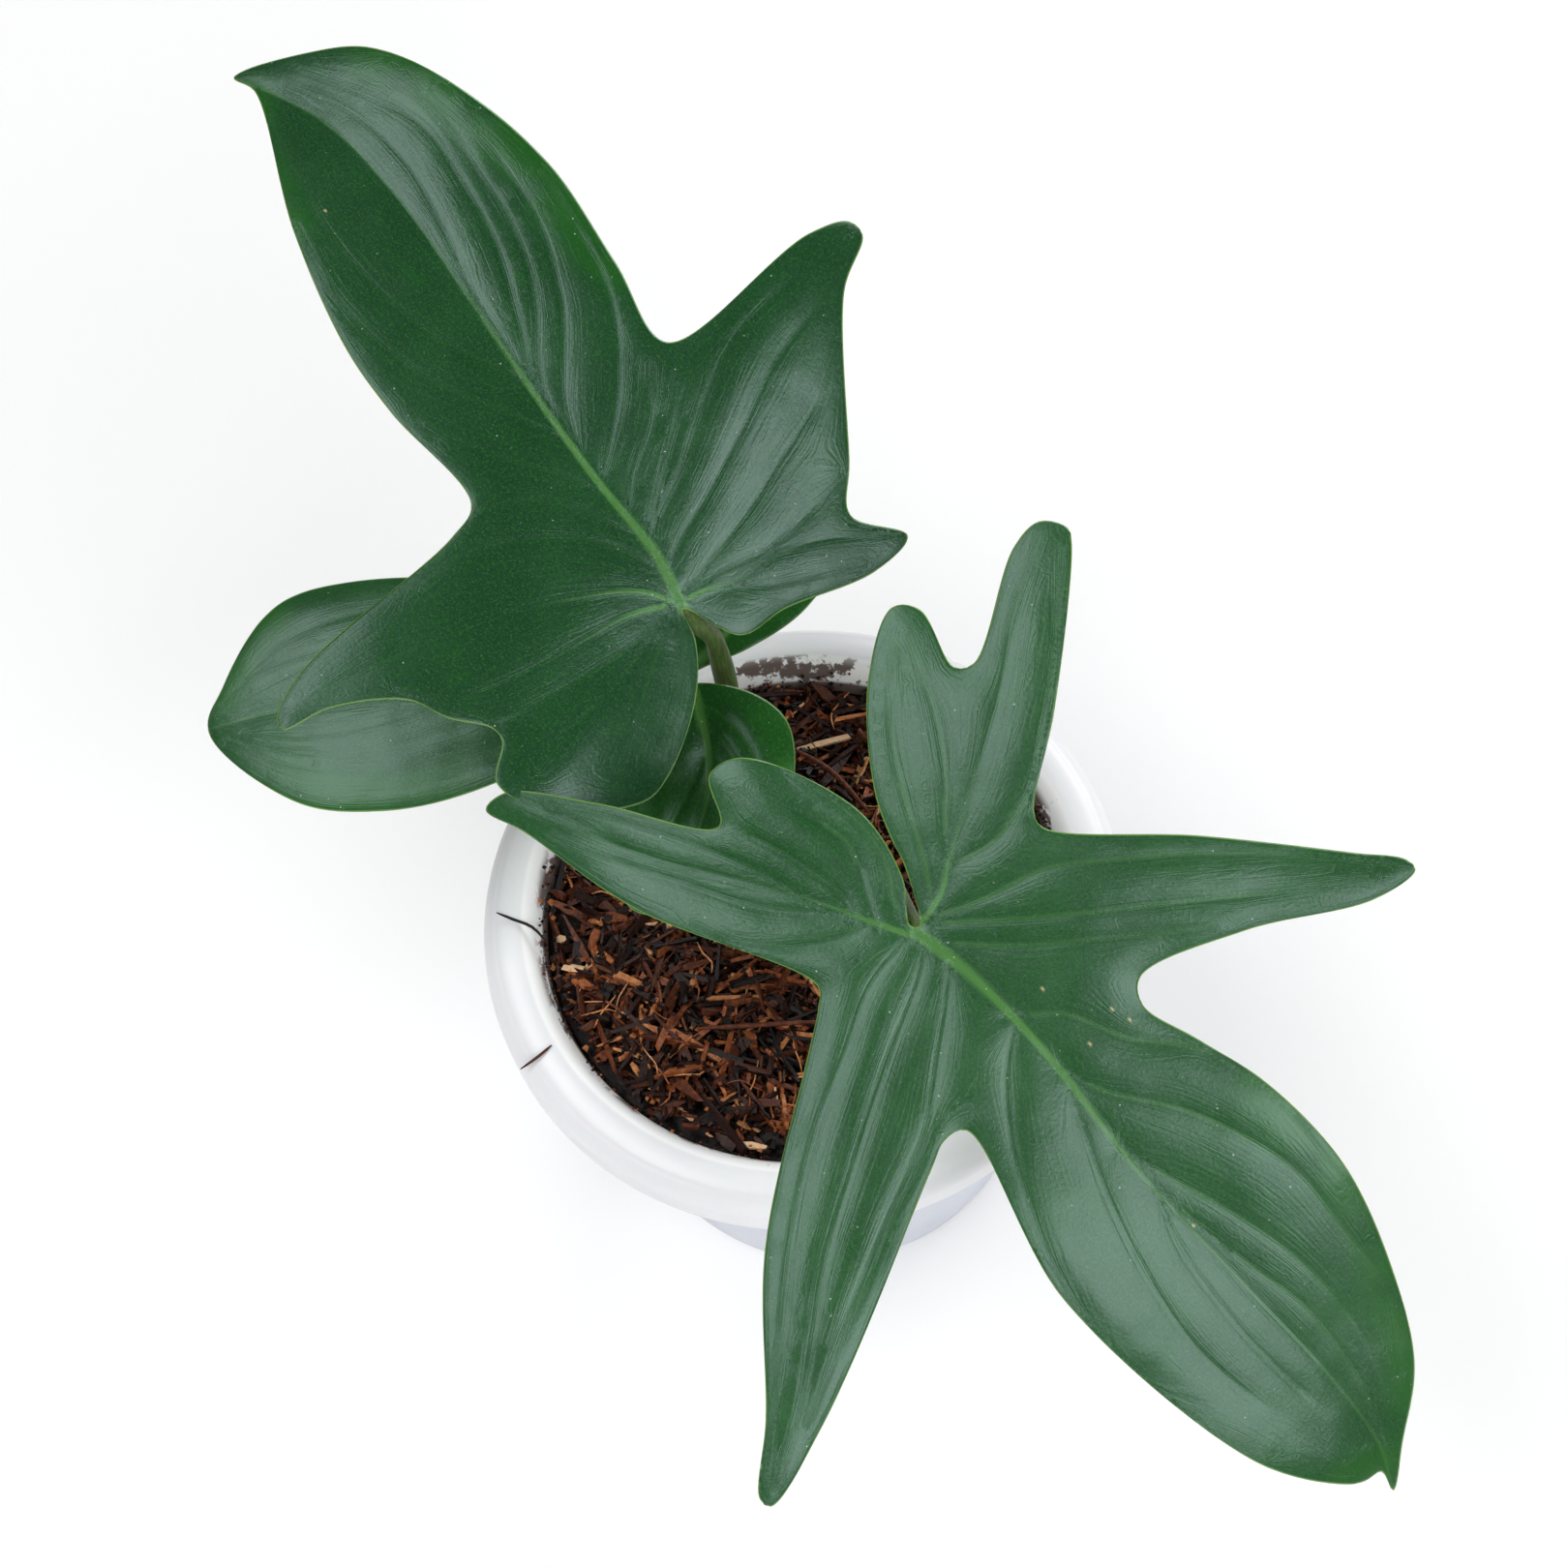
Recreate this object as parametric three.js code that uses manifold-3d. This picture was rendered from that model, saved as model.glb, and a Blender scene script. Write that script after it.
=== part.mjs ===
// A young oakleaf philodendron in a white plastic nursery pot.
// Millimetres, +Z up. The origin is the centre of the pot's flat underside, and the plant's
// front is towards -Y. Two large lobed leaves and three undivided young leaves rise on their
// petioles from a short stem in the middle of the potting mix.

import * as THREE from "three";
import { mergeVertices } from "three/addons/utils/BufferGeometryUtils.js";
import Module from "manifold-3d";

const wasm = await Module();
wasm.setup();

// Driving dimensions of the pot

const POT_HEIGHT = 90;
const POT_BASE_RADIUS = 42;
const POT_WALL_TOP_RADIUS = 51;
const POT_WALL = 2;
const POT_FLOOR = 2.5;
const RIM_RADIUS = 60;
const RIM_CREST_RADIUS = 53.2;
const RIM_LOWER_EDGE = 79.5;
const RIM_INNER_RADIUS = 48.6;
const RIM_ROUND_HEIGHT = 5.5;
const RIM_ROUND_PULL = 2.6;
const RIM_LIP_WIDTH = 1.8;
const RIM_LIP_HEIGHT = 1.8;
const POT_FOOT_ROUND = 1.3;
const POT_SIDES = 96;
const FLUTE_COUNT = 16;
const FLUTE_DEPTH = 0.7;
const DRAIN_HOLE_COUNT = 6;
const DRAIN_HOLE_RADIUS = 3.5;
const DRAIN_CIRCLE_RADIUS = 27;

// Driving dimensions of the mix, the stem and the leaves

const MIX_TOP = 84;
const MIX_SIDES = 44;
const MIX_MOUND = 0.6;
const GAP = 0.3;
const CHIP_COUNT = 96;
const CHIP_SEED = 4688;
const CHIP_LENGTH = [5, 12];
const CHIP_WIDTH = [1.8, 3.8];
const CHIP_HEIGHT = [1.8, 2.6];
const CHIP_TILT = 0.08;
const STEM_RADIUS = 5;
const STEM_TOP = 98;
const STEM_CENTRE = [-0.2, 2.2];
const HOLE_DEPTH = 6;
const BLADE_THICKNESS = 0.8;
const BLADE_MESH = 6.2;
const EDGE_STEP = 4;
const RIB_DEPTH = 0.8;
const SEAT_REACH = 1.2;
const PETIOLE_STEP = 5;
const WAVE_START = 25;
const BACK_BEND = 0.4;

// Colours

const PLASTIC_WHITE = 0xeeeef2;
const MIX_BROWN = 0x2e1c14;
const STEM_OLIVE = 0x6f7a3f;
const PETIOLE_OLIVE = 0x6d7c3c;
const LEAF_DARK = 0x1d4a2a;
const LEAF_GREEN = 0x2c6138;
const LEAF_FRESH = 0x3a7430;

// Each leaf: base is where the petiole meets the blade, tip is the far end of the midrib and
// up is the side that the blade faces. arch lifts the middle of the midrib, rise and droop
// bend the two halves up beside the midrib and down towards their margins, and bow is how
// far the midrib curves aside. wave is the height, length and phase of the margins' waves.
// The outline is in the blade's own plane: x runs from the base to the tip and y to the
// leaf's left, seen from above with the tip pointing away.
// The path of a petiole starts on the stem or in the mix and ends under the midrib.

const LEAVES = {
  a: {
    colour: LEAF_DARK,
    base: [-11.6, 24.6, 158.4],
    tip: [-74.5, 127.2, 188.4],
    up: [0.02, -0.25, 0.97],
    arch: 9,
    rise: 0.14,
    droop: 0.0032,
    bow: -4.5,
    wave: [2, 78, 0.6],
    outline: [
      [124, 0], [114.5, -16.5], [107.5, -22], [91, -27.5], [71.5, -30], [51, -27.5],
      [35, -25.5], [35.5, -56.5], [33.5, -63.5], [30.5, -64], [24.5, -55], [2.5, -38],
      [-4.5, -32.5], [-12.5, -38.5], [-14, -30], [-10, -13.5], [-9, -5], [0, 0], [-5, 1.5],
      [-12.5, 7.5], [-20, 19.5], [-21, 25.5], [-13.5, 39], [-5.5, 42.5], [-0.5, 37.5],
      [2, 37.5], [7.5, 42], [13.5, 45], [20.5, 55.5], [22.5, 63.5], [24.5, 63.5], [28.5, 55.5],
      [31, 23], [33.5, 17], [54, 17.5], [67.5, 16.5], [90, 10.5], [119, -1],
    ],
    petiole: [
      [-1.6, 4.6, 98.3], [-1.6, 4.7, 101], [-2.4, 7.8, 104], [-4.4, 15, 112], [-6.6, 23.3, 123],
      [-6.9, 25.4, 131.8], [-7.2, 25.8, 139.9], [-7.7, 25, 147.4], [-9.5, 24.5, 152.7],
    ],
    radii: [2.2, 1.5],
  },
  b: {
    colour: LEAF_GREEN,
    base: [16.6, -39.7, 159.2],
    tip: [77.3, -124.6, 106.7],
    up: [0, -0.42, 0.9],
    arch: 9,
    rise: 0.12,
    droop: 0.0024,
    bow: 4,
    wave: [2.2, 72, 2.2],
    outline: [
      [-1, 0], [-7.5, 4], [-20, 5.5], [-37.5, -3], [-38.5, -8.5], [-31.5, -12.5], [-46, -24.5],
      [-57, -35], [-57, -39.5], [-50.5, -37], [-30, -31], [-3, -17], [-0.5, -19], [4, -25],
      [22, -49.5], [40.5, -65.5], [49, -74], [51, -73.5], [47, -60], [29, -22], [27, -17.5],
      [28, -14], [57, -19.5], [96.5, -13.5], [109.5, -5.5], [112, -2.5], [113, 0.5], [117, 0],
      [111.5, 6], [102, 15.5], [86, 22.5], [68.5, 26.5], [51.5, 25.5], [40, 22], [30.5, 19],
      [27, 21.5], [31.5, 38], [40, 55.5], [40.5, 63], [38.5, 63], [33, 58], [16, 42], [0, 25],
      [-2.5, 25.5], [-12.5, 38], [-30, 57], [-32, 58], [-35.5, 55.5], [-35, 50], [-25.5, 33.5],
      [-27, 31], [-37, 33], [-40, 30], [-33.5, 19.5], [-20.5, 9.5], [-13, 6.5], [-9, 5.5],
      [0, 1],
    ],
    petiole: [
      [1.2, -0.6, 98.3], [1.2, -0.7, 101], [2, -1.8, 105], [4.5, -5, 116], [9.5, -13, 135],
      [14, -26, 150.5], [16, -34.5, 155.4],
    ],
    radii: [2.1, 1.5],
  },
  c: {
    colour: LEAF_GREEN,
    base: [-25.8, 27.2, 129.4],
    tip: [-99.9, 35.8, 124.8],
    up: [-0.05, -0.2, 0.97],
    arch: 4,
    rise: 0.16,
    droop: 0.01,
    bow: -3,
    wave: [0.8, 50, 0.5],
    outline: [
      [75, 0], [72, -7], [64, -19.5], [57, -23.5], [35, -24], [23.5, -20], [0, -2], [1, 3.5],
      [7, 9], [26.5, 16.5], [43, 18.5], [58, 15.5],
    ],
    petiole: [
      [-7.5, 5.5, 79], [-7.5, 5.5, 84], [-7.6, 5.8, 88], [-9.5, 10, 97], [-14, 18, 110],
      [-20.5, 24.5, 121.5],
    ],
    radii: [1.5, 1.1],
  },
  d: {
    colour: LEAF_FRESH,
    base: [-12.5, 20.7, 137.3],
    tip: [-28.6, -9.4, 116.3],
    up: [0, -0.45, 0.88],
    arch: 3.5,
    rise: 0.16,
    droop: 0.012,
    bow: 7,
    wave: [0.5, 30, 1],
    outline: [
      [-2.5, 7], [0.5, 16.5], [9.5, 20.5], [22.5, 19.5], [36, 9], [40, 0], [36, -4],
      [14.5, -6.5], [1, -4],
    ],
    petiole: [
      [-4.5, 10.5, 79], [-4.5, 10.5, 84], [-4.6, 10.7, 88], [-6.5, 14, 98], [-9, 18, 114],
      [-11.3, 21.5, 128],
    ],
    radii: [1.4, 1],
  },
  e: {
    colour: LEAF_FRESH,
    base: [-7.3, 32.4, 130.9],
    tip: [18.7, 50.8, 130.2],
    up: [0.1, -0.2, 0.97],
    arch: 2.5,
    rise: 0.14,
    droop: 0.014,
    bow: 0,
    wave: [0.4, 25, 0],
    outline: [
      [-6, 0], [-4.5, -0.5], [3.5, -4], [15.5, -5.5], [32, 0], [22, 6.5], [6, 8.5], [-1, 6.5],
      [-5, 3.5],
    ],
    petiole: [
      [1.5, 12, 79], [1.5, 12, 84], [1.4, 12.3, 88], [-1.4, 19, 98], [-6.8, 27.5, 107],
      [-7.6, 31.6, 117],
    ],
    radii: [1.3, 0.9],
  },
};

// Solids

// Shared vertices are merged on position alone, so the mesh is one closed surface.
function solidOf(geometry) {
  const bare = geometry.clone();
  bare.deleteAttribute("normal");
  bare.deleteAttribute("uv");
  const merged = mergeVertices(bare, 1e-4);
  return new wasm.Manifold(
    new wasm.Mesh({
      numProp: 3,
      vertProperties: merged.attributes.position.array,
      triVerts: new Uint32Array(merged.index.array),
    }),
  );
}

function geometryOf(solid) {
  const mesh = solid.getMesh();
  const geometry = new THREE.BufferGeometry();
  geometry.setAttribute("position", new THREE.BufferAttribute(mesh.vertProperties, 3));
  geometry.setIndex(new THREE.BufferAttribute(mesh.triVerts, 1));
  geometry.computeVertexNormals();
  return geometry;
}

function named(name, geometry, colour, roughness) {
  const material = new THREE.MeshStandardMaterial({ color: colour, roughness, metalness: 0 });
  const mesh = new THREE.Mesh(geometry, material);
  mesh.name = name;
  return mesh;
}

// A repeatable random number from 0 to 1.
function seeded(seed) {
  let state = seed;
  return () => {
    state = (state + 0x6d2b79f5) | 0;
    let t = Math.imul(state ^ (state >>> 15), 1 | state);
    t = (t + Math.imul(t ^ (t >>> 7), 61 | t)) ^ t;
    return ((t ^ (t >>> 14)) >>> 0) / 4294967296;
  };
}

// Pot

// The inner radius of the wall at a height above the underside.
function innerRadius(z) {
  const share = (z - POT_FLOOR) / (MIX_TOP - POT_FLOOR);
  const low = POT_BASE_RADIUS - POT_WALL;
  return low + (RIM_INNER_RADIUS - low) * share;
}

// The profile goes up the outside, over the broad round rim and down the inside.
function potProfile() {
  const crest = new THREE.Vector2(RIM_CREST_RADIUS, POT_HEIGHT);
  const outside = new THREE.CubicBezierCurve(
    new THREE.Vector2(RIM_RADIUS, POT_HEIGHT - RIM_ROUND_HEIGHT),
    new THREE.Vector2(RIM_RADIUS, POT_HEIGHT - RIM_ROUND_PULL),
    new THREE.Vector2(RIM_RADIUS - RIM_ROUND_PULL, POT_HEIGHT),
    crest,
  );
  const inside = new THREE.QuadraticBezierCurve(
    crest,
    new THREE.Vector2(RIM_INNER_RADIUS + 1.2, POT_HEIGHT - 0.5),
    new THREE.Vector2(RIM_INNER_RADIUS, MIX_TOP),
  );
  const underside = RIM_LOWER_EDGE + RIM_LIP_HEIGHT;
  const lipRadius = RIM_RADIUS - RIM_LIP_WIDTH;
  return [
    new THREE.Vector2(0, 0),
    new THREE.Vector2(POT_BASE_RADIUS - POT_FOOT_ROUND, 0),
    new THREE.Vector2(POT_BASE_RADIUS, POT_FOOT_ROUND),
    new THREE.Vector2((POT_BASE_RADIUS + POT_WALL_TOP_RADIUS) / 2, POT_HEIGHT / 2),
    new THREE.Vector2(POT_WALL_TOP_RADIUS, underside),
    new THREE.Vector2(lipRadius - 0.4, underside),
    new THREE.Vector2(lipRadius, RIM_LOWER_EDGE),
    new THREE.Vector2(RIM_RADIUS - 0.5, RIM_LOWER_EDGE),
    new THREE.Vector2(RIM_RADIUS, RIM_LOWER_EDGE + 0.8),
    ...outside.getPoints(5),
    ...inside.getPoints(3).slice(1),
    new THREE.Vector2(innerRadius(POT_FLOOR), POT_FLOOR),
    new THREE.Vector2(0, POT_FLOOR),
  ];
}

// A profile turned about +Z.
function turned(profile, sides) {
  return new THREE.LatheGeometry(profile, sides).rotateX(Math.PI / 2);
}

// Shallow vertical flutes press the outside of the wall in, below the rim.
function flute(geometry) {
  const position = geometry.attributes.position;
  for (let i = 0; i < position.count; i++) {
    const x = position.getX(i);
    const y = position.getY(i);
    const z = position.getZ(i);
    const onWall = z > 1 && z < RIM_LOWER_EDGE - 1 && Math.hypot(x, y) > innerRadius(z) + 1;
    if (!onWall) continue;
    const wave = 0.5 - 0.5 * Math.cos(FLUTE_COUNT * Math.atan2(y, x));
    const scale = 1 - (FLUTE_DEPTH * (1 - wave)) / Math.hypot(x, y);
    position.setXY(i, x * scale, y * scale);
  }
  return geometry;
}

function pot() {
  let solid = solidOf(flute(turned(potProfile(), POT_SIDES)));
  for (let i = 0; i < DRAIN_HOLE_COUNT; i++) {
    const angle = ((i + 0.5) / DRAIN_HOLE_COUNT) * 2 * Math.PI;
    const drill = new THREE.CylinderGeometry(
      DRAIN_HOLE_RADIUS, DRAIN_HOLE_RADIUS, 4 * POT_FLOOR, 12,
    );
    drill.rotateX(Math.PI / 2);
    drill.translate(
      DRAIN_CIRCLE_RADIUS * Math.cos(angle),
      DRAIN_CIRCLE_RADIUS * Math.sin(angle),
      POT_FLOOR / 2,
    );
    solid = solid.subtract(solidOf(drill));
  }
  return named("pot", geometryOf(solid), PLASTIC_WHITE, 0.35);
}

// Potting mix

// The mix lies in low mounds.
function mixHeight(x, y) {
  const mounds = Math.sin(x / 7.3 + 0.6) * Math.cos(y / 8.1) + 0.5 * Math.sin((x + 2 * y) / 5.2);
  return MIX_TOP + MIX_MOUND * mounds;
}

function mixBody() {
  const bottom = POT_FLOOR + GAP;
  const wall = (z) => innerRadius(z) - GAP - 0.1;
  const rings = [0.94, 0.8, 0.64, 0.48, 0.32, 0.16];
  const profile = [
    new THREE.Vector2(0, bottom),
    new THREE.Vector2(wall(bottom) - 0.1, bottom),
    new THREE.Vector2(wall(MIX_TOP - 1), MIX_TOP - 1),
    ...rings.map((share) => new THREE.Vector2(wall(MIX_TOP) * share, MIX_TOP)),
    new THREE.Vector2(0, MIX_TOP),
  ];
  const geometry = turned(profile, MIX_SIDES);
  const position = geometry.attributes.position;
  for (let i = 0; i < position.count; i++) {
    if (position.getZ(i) < MIX_TOP - 0.5) continue;
    position.setZ(i, mixHeight(position.getX(i), position.getY(i)));
  }
  return solidOf(geometry);
}

// The feet of everything that stands in the mix, as centre and radius.
function feet() {
  const petioles = Object.values(LEAVES).filter((leaf) => leaf.petiole[0][2] < MIX_TOP);
  return [
    { at: STEM_CENTRE, radius: STEM_RADIUS },
    ...petioles.map((leaf) => ({ at: leaf.petiole[0], radius: leaf.radii[0] })),
  ];
}

// Splinters of bark lie on the mix at random, sunk in by more than half.
function addChips(body, places) {
  const random = seeded(CHIP_SEED);
  const between = ([low, high]) => low + (high - low) * random();
  let solid = body;
  let laid = 0;
  while (laid < CHIP_COUNT) {
    const length = between(CHIP_LENGTH);
    const width = between(CHIP_WIDTH);
    const height = between(CHIP_HEIGHT);
    const distance = (innerRadius(MIX_TOP) - 1.5 - length / 2) * Math.sqrt(random());
    const angle = 2 * Math.PI * random();
    const turn = Math.PI * random();
    const tilt = between([-CHIP_TILT, CHIP_TILT]);
    const x = distance * Math.cos(angle);
    const y = distance * Math.sin(angle);
    const clear = ({ at, radius }) =>
      Math.hypot(x - at[0], y - at[1]) > radius + length / 2 + 1.2;
    if (!places.every(clear)) continue;
    const chip = new THREE.BoxGeometry(length, width, height);
    chip.rotateY(tilt);
    chip.rotateZ(turn);
    chip.translate(x, y, mixHeight(x, y) + 0.1);
    solid = solid.add(solidOf(chip));
    laid += 1;
  }
  return solid;
}

function mix() {
  const places = feet();
  let solid = addChips(mixBody(), places);
  for (const { at, radius } of places) {
    const hole = new THREE.CylinderGeometry(radius + GAP, radius + GAP, 2 * HOLE_DEPTH, 14);
    hole.rotateX(Math.PI / 2);
    hole.translate(at[0], at[1], MIX_TOP);
    solid = solid.subtract(solidOf(hole));
  }
  return named("potting_mix", geometryOf(solid), MIX_BROWN, 0.95);
}

// Stem

function stem() {
  const foot = MIX_TOP - HOLE_DEPTH + GAP;
  const profile = [
    new THREE.Vector2(0, foot),
    new THREE.Vector2(STEM_RADIUS - 0.4, foot),
    new THREE.Vector2(STEM_RADIUS, MIX_TOP - 3),
    new THREE.Vector2(STEM_RADIUS, MIX_TOP + 4),
    new THREE.Vector2(STEM_RADIUS - 0.5, STEM_TOP - 4),
    new THREE.Vector2(STEM_RADIUS - 0.3, STEM_TOP - 1),
    new THREE.Vector2(STEM_RADIUS - 1.2, STEM_TOP),
    new THREE.Vector2(0, STEM_TOP),
  ];
  const geometry = turned(profile, 16);
  const mesh = named("stem", geometry, STEM_OLIVE, 0.6);
  mesh.position.set(STEM_CENTRE[0], STEM_CENTRE[1], 0);
  return mesh;
}

// Blades

// The blade's axes: x from base to tip, z as near to up as it can be.
function bladeFrame(leaf) {
  const base = new THREE.Vector3(...leaf.base);
  const along = new THREE.Vector3(...leaf.tip).sub(base);
  const length = along.length();
  along.normalize();
  const up = new THREE.Vector3(...leaf.up);
  up.addScaledVector(along, -up.dot(along)).normalize();
  const across = new THREE.Vector3().crossVectors(up, along);
  return { base, along, across, up, length };
}

// How far the midrib lies to the side of the straight line from base to tip.
function midribOffset(leaf, length, x) {
  const t = Math.min(Math.max(x / length, 0), 1);
  return 4 * leaf.bow * t * (1 - t);
}

// The height of the blade's middle surface above its plane.
function bladeHeight(leaf, length, x, y) {
  const t = x / length;
  const offset = y - midribOffset(leaf, length, x);
  const aside = Math.abs(offset);
  const [waveHeight, waveLength, phase] = leaf.wave;
  const swing = Math.sin((2 * Math.PI * x) / waveLength + phase * Math.sign(offset));
  const share = aside ** 2 / (aside ** 2 + WAVE_START ** 2);
  const arched = 4 * leaf.arch * t * (1 - (t > 0 ? t : BACK_BEND * t));
  return arched + leaf.rise * aside - leaf.droop * aside ** 2 + waveHeight * swing * share;
}

// A smooth closed curve through the outline's points, cut into short steps.
function denseOutline(points) {
  const curve = new THREE.CatmullRomCurve3(
    points.map(([x, y]) => new THREE.Vector3(x, y, 0)), true, "centripetal",
  );
  const dense = [];
  points.forEach(([x, y], i) => {
    const [nextX, nextY] = points[(i + 1) % points.length];
    const steps = Math.max(1, Math.round(Math.hypot(nextX - x, nextY - y) / EDGE_STEP));
    for (let k = 0; k < steps; k++) {
      const p = curve.getPoint((i + k / steps) / points.length);
      dense.push([p.x, p.y]);
    }
  });
  return dense;
}

function insideOutline(outline, x, y) {
  let inside = false;
  for (let i = 0, j = outline.length - 1; i < outline.length; j = i++) {
    const [ax, ay] = outline[i];
    const [bx, by] = outline[j];
    if (ay > y !== by > y && x < ((bx - ax) * (y - ay)) / (by - ay) + ax) inside = !inside;
  }
  return inside;
}

function nearest(points, x, y) {
  return Math.min(...points.map(([px, py]) => Math.hypot(px - x, py - y)));
}

// True when p is inside the circle through the corners of a counterclockwise triangle.
function inCircle(a, b, c, p) {
  const row = (q) => [q[0] - p[0], q[1] - p[1], (q[0] - p[0]) ** 2 + (q[1] - p[1]) ** 2];
  const [ax, ay, aq] = row(a);
  const [bx, by, bq] = row(b);
  const [cx, cy, cq] = row(c);
  return ax * (by * cq - bq * cy) - ay * (bx * cq - bq * cx) + aq * (bx * cy - by * cx) > 1e-9;
}

// Delaunay triangles of points in the plane, found by adding the points one at a time.
function delaunay(points) {
  const far = 5000;
  const all = [...points, [-far, -far], [far, -far], [0, far]];
  const n = points.length;
  let triangles = [[n, n + 1, n + 2]];
  points.forEach((p, i) => {
    const rim = new Map();
    const kept = [];
    for (const triangle of triangles) {
      const [a, b, c] = triangle;
      if (!inCircle(all[a], all[b], all[c], p)) {
        kept.push(triangle);
        continue;
      }
      for (const [from, to] of [[a, b], [b, c], [c, a]]) {
        if (!rim.delete(`${to} ${from}`)) rim.set(`${from} ${to}`, [from, to]);
      }
    }
    triangles = kept;
    for (const [from, to] of rim.values()) triangles.push([from, to, i]);
  });
  return triangles.filter((triangle) => triangle.every((corner) => corner < n));
}

// Points inside the blade: a row along the midrib and a lattice on both sides of it.
function innerPoints(leaf, length, outline) {
  const points = [];
  const fits = (x, y, clearance) =>
    insideOutline(outline, x, y) && nearest(outline, x, y) > clearance;
  for (let x = BLADE_MESH / 2; x < length; x += BLADE_MESH) {
    const y = midribOffset(leaf, length, x);
    if (fits(x, y, 1.5)) points.push([x, y]);
  }
  const ribs = points.length;
  const reach = Math.max(...outline.flat().map(Math.abs));
  const rowStep = (BLADE_MESH * Math.sqrt(3)) / 2;
  for (let row = -Math.ceil(reach / rowStep); row * rowStep < reach; row++) {
    for (let x = -reach + (row % 2) * (BLADE_MESH / 2); x < reach; x += BLADE_MESH) {
      const y = row * rowStep + 0.37;
      const clearOfRib = nearest(points.slice(0, ribs), x, y) > 0.75 * BLADE_MESH;
      if (clearOfRib && fits(x, y, 0.5 * BLADE_MESH)) points.push([x, y]);
    }
  }
  return { points, ribs };
}

// The outline is divided until each of its steps is the side of a triangle.
function bladeMesh(leaf, length) {
  let outline = denseOutline(leaf.outline);
  const { points, ribs } = innerPoints(leaf, length, outline);
  for (;;) {
    const all = [...outline, ...points];
    const triangles = delaunay(all);
    const sides = new Set();
    for (const [a, b, c] of triangles) {
      for (const [p, q] of [[a, b], [b, c], [c, a]]) {
        sides.add(`${Math.min(p, q)} ${Math.max(p, q)}`);
      }
    }
    const divided = [];
    outline.forEach(([x, y], i) => {
      const j = (i + 1) % outline.length;
      divided.push([x, y]);
      if (sides.has(`${Math.min(i, j)} ${Math.max(i, j)}`)) return;
      divided.push([(x + outline[j][0]) / 2, (y + outline[j][1]) / 2]);
    });
    if (divided.length === outline.length) {
      const within = triangles.filter(([a, b, c]) => {
        const x = (all[a][0] + all[b][0] + all[c][0]) / 3;
        const y = (all[a][1] + all[b][1] + all[c][1]) / 3;
        return insideOutline(outline, x, y);
      });
      const isRib = all.map((p, i) => i >= outline.length && i < outline.length + ribs);
      return { all, triangles: within, edge: outline.length, isRib };
    }
    outline = divided;
  }
}

// The two faces share one set of triangles, and the midrib stands out below.
function bladeGeometry(leaf) {
  const { length } = bladeFrame(leaf);
  const { all, triangles, edge, isRib } = bladeMesh(leaf, length);
  const half = BLADE_THICKNESS / 2;
  const top = all.map(([x, y]) => [x, y, bladeHeight(leaf, length, x, y) + half]);
  const bottom = all.map(([x, y], i) => {
    const rib = isRib[i] ? RIB_DEPTH * (1 - (0.8 * x) / length) : 0;
    return [x, y, bladeHeight(leaf, length, x, y) - half - rib];
  });
  const index = [];
  for (const [a, b, c] of triangles) {
    index.push(a, b, c);
    index.push(c + all.length, b + all.length, a + all.length);
  }
  const area = all.slice(0, edge).reduce((sum, [x, y], i) => {
    const [nextX, nextY] = all[(i + 1) % edge];
    return sum + x * nextY - y * nextX;
  }, 0);
  for (let i = 0; i < edge; i++) {
    const j = (i + 1) % edge;
    const [from, to] = area > 0 ? [i, j] : [j, i];
    index.push(from, from + all.length, to + all.length);
    index.push(from, to + all.length, to);
  }
  const geometry = new THREE.BufferGeometry();
  const values = [...top, ...bottom].flat();
  geometry.setAttribute("position", new THREE.Float32BufferAttribute(values, 3));
  geometry.setIndex(index);
  geometry.computeVertexNormals();
  return geometry;
}

function blade(key, leaf) {
  const { base, along, across, up } = bladeFrame(leaf);
  const mesh = named(`leaf_${key}`, bladeGeometry(leaf), leaf.colour, 0.45);
  mesh.position.copy(base);
  mesh.quaternion.setFromRotationMatrix(new THREE.Matrix4().makeBasis(along, across, up));
  return mesh;
}

// Petioles

// A round tube along the path, thinner towards the blade, that ends just under the midrib.
function petiole(key, leaf) {
  const { base, along, up, length } = bladeFrame(leaf);
  const [footRadius, endRadius] = leaf.radii;
  const points = leaf.petiole.map((p) => new THREE.Vector3(...p));
  const seat = base.clone().addScaledVector(along, SEAT_REACH);
  const middle = bladeHeight(leaf, length, SEAT_REACH, midribOffset(leaf, length, SEAT_REACH));
  const steepness = seat.clone().sub(points.at(-1)).normalize().dot(up);
  const under = BLADE_THICKNESS / 2 + RIB_DEPTH / 2 + GAP + endRadius * Math.sqrt(1 - steepness ** 2);
  const end = seat.addScaledVector(up, middle - under);
  const path = new THREE.CatmullRomCurve3([...points, end], false, "centripetal");
  const steps = Math.round(path.getLength() / PETIOLE_STEP);
  const circle = new THREE.Shape().absarc(0, 0, 1, 0, 2 * Math.PI);
  const geometry = new THREE.ExtrudeGeometry(circle, {
    steps, curveSegments: 8, bevelEnabled: false, extrudePath: path,
  });
  const stations = path.getSpacedPoints(steps);
  const position = geometry.attributes.position;
  const vertex = new THREE.Vector3();
  for (let i = 0; i < position.count; i++) {
    vertex.fromBufferAttribute(position, i);
    const distances = stations.map((station) => station.distanceToSquared(vertex));
    const at = distances.indexOf(Math.min(...distances));
    const radius = footRadius + ((endRadius - footRadius) * at) / steps;
    vertex.sub(stations[at]).multiplyScalar(radius).add(stations[at]);
    position.setXYZ(i, vertex.x, vertex.y, vertex.z);
  }
  geometry.computeVertexNormals();
  return named(`petiole_${key}`, geometry, PETIOLE_OLIVE, 0.5);
}

// The whole plant in its pot

const group = new THREE.Group();

const vessel = new THREE.Group();
vessel.add(pot(), mix());

const plant = new THREE.Group();
plant.add(stem());
for (const [key, leaf] of Object.entries(LEAVES)) plant.add(petiole(key, leaf), blade(key, leaf));

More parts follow.
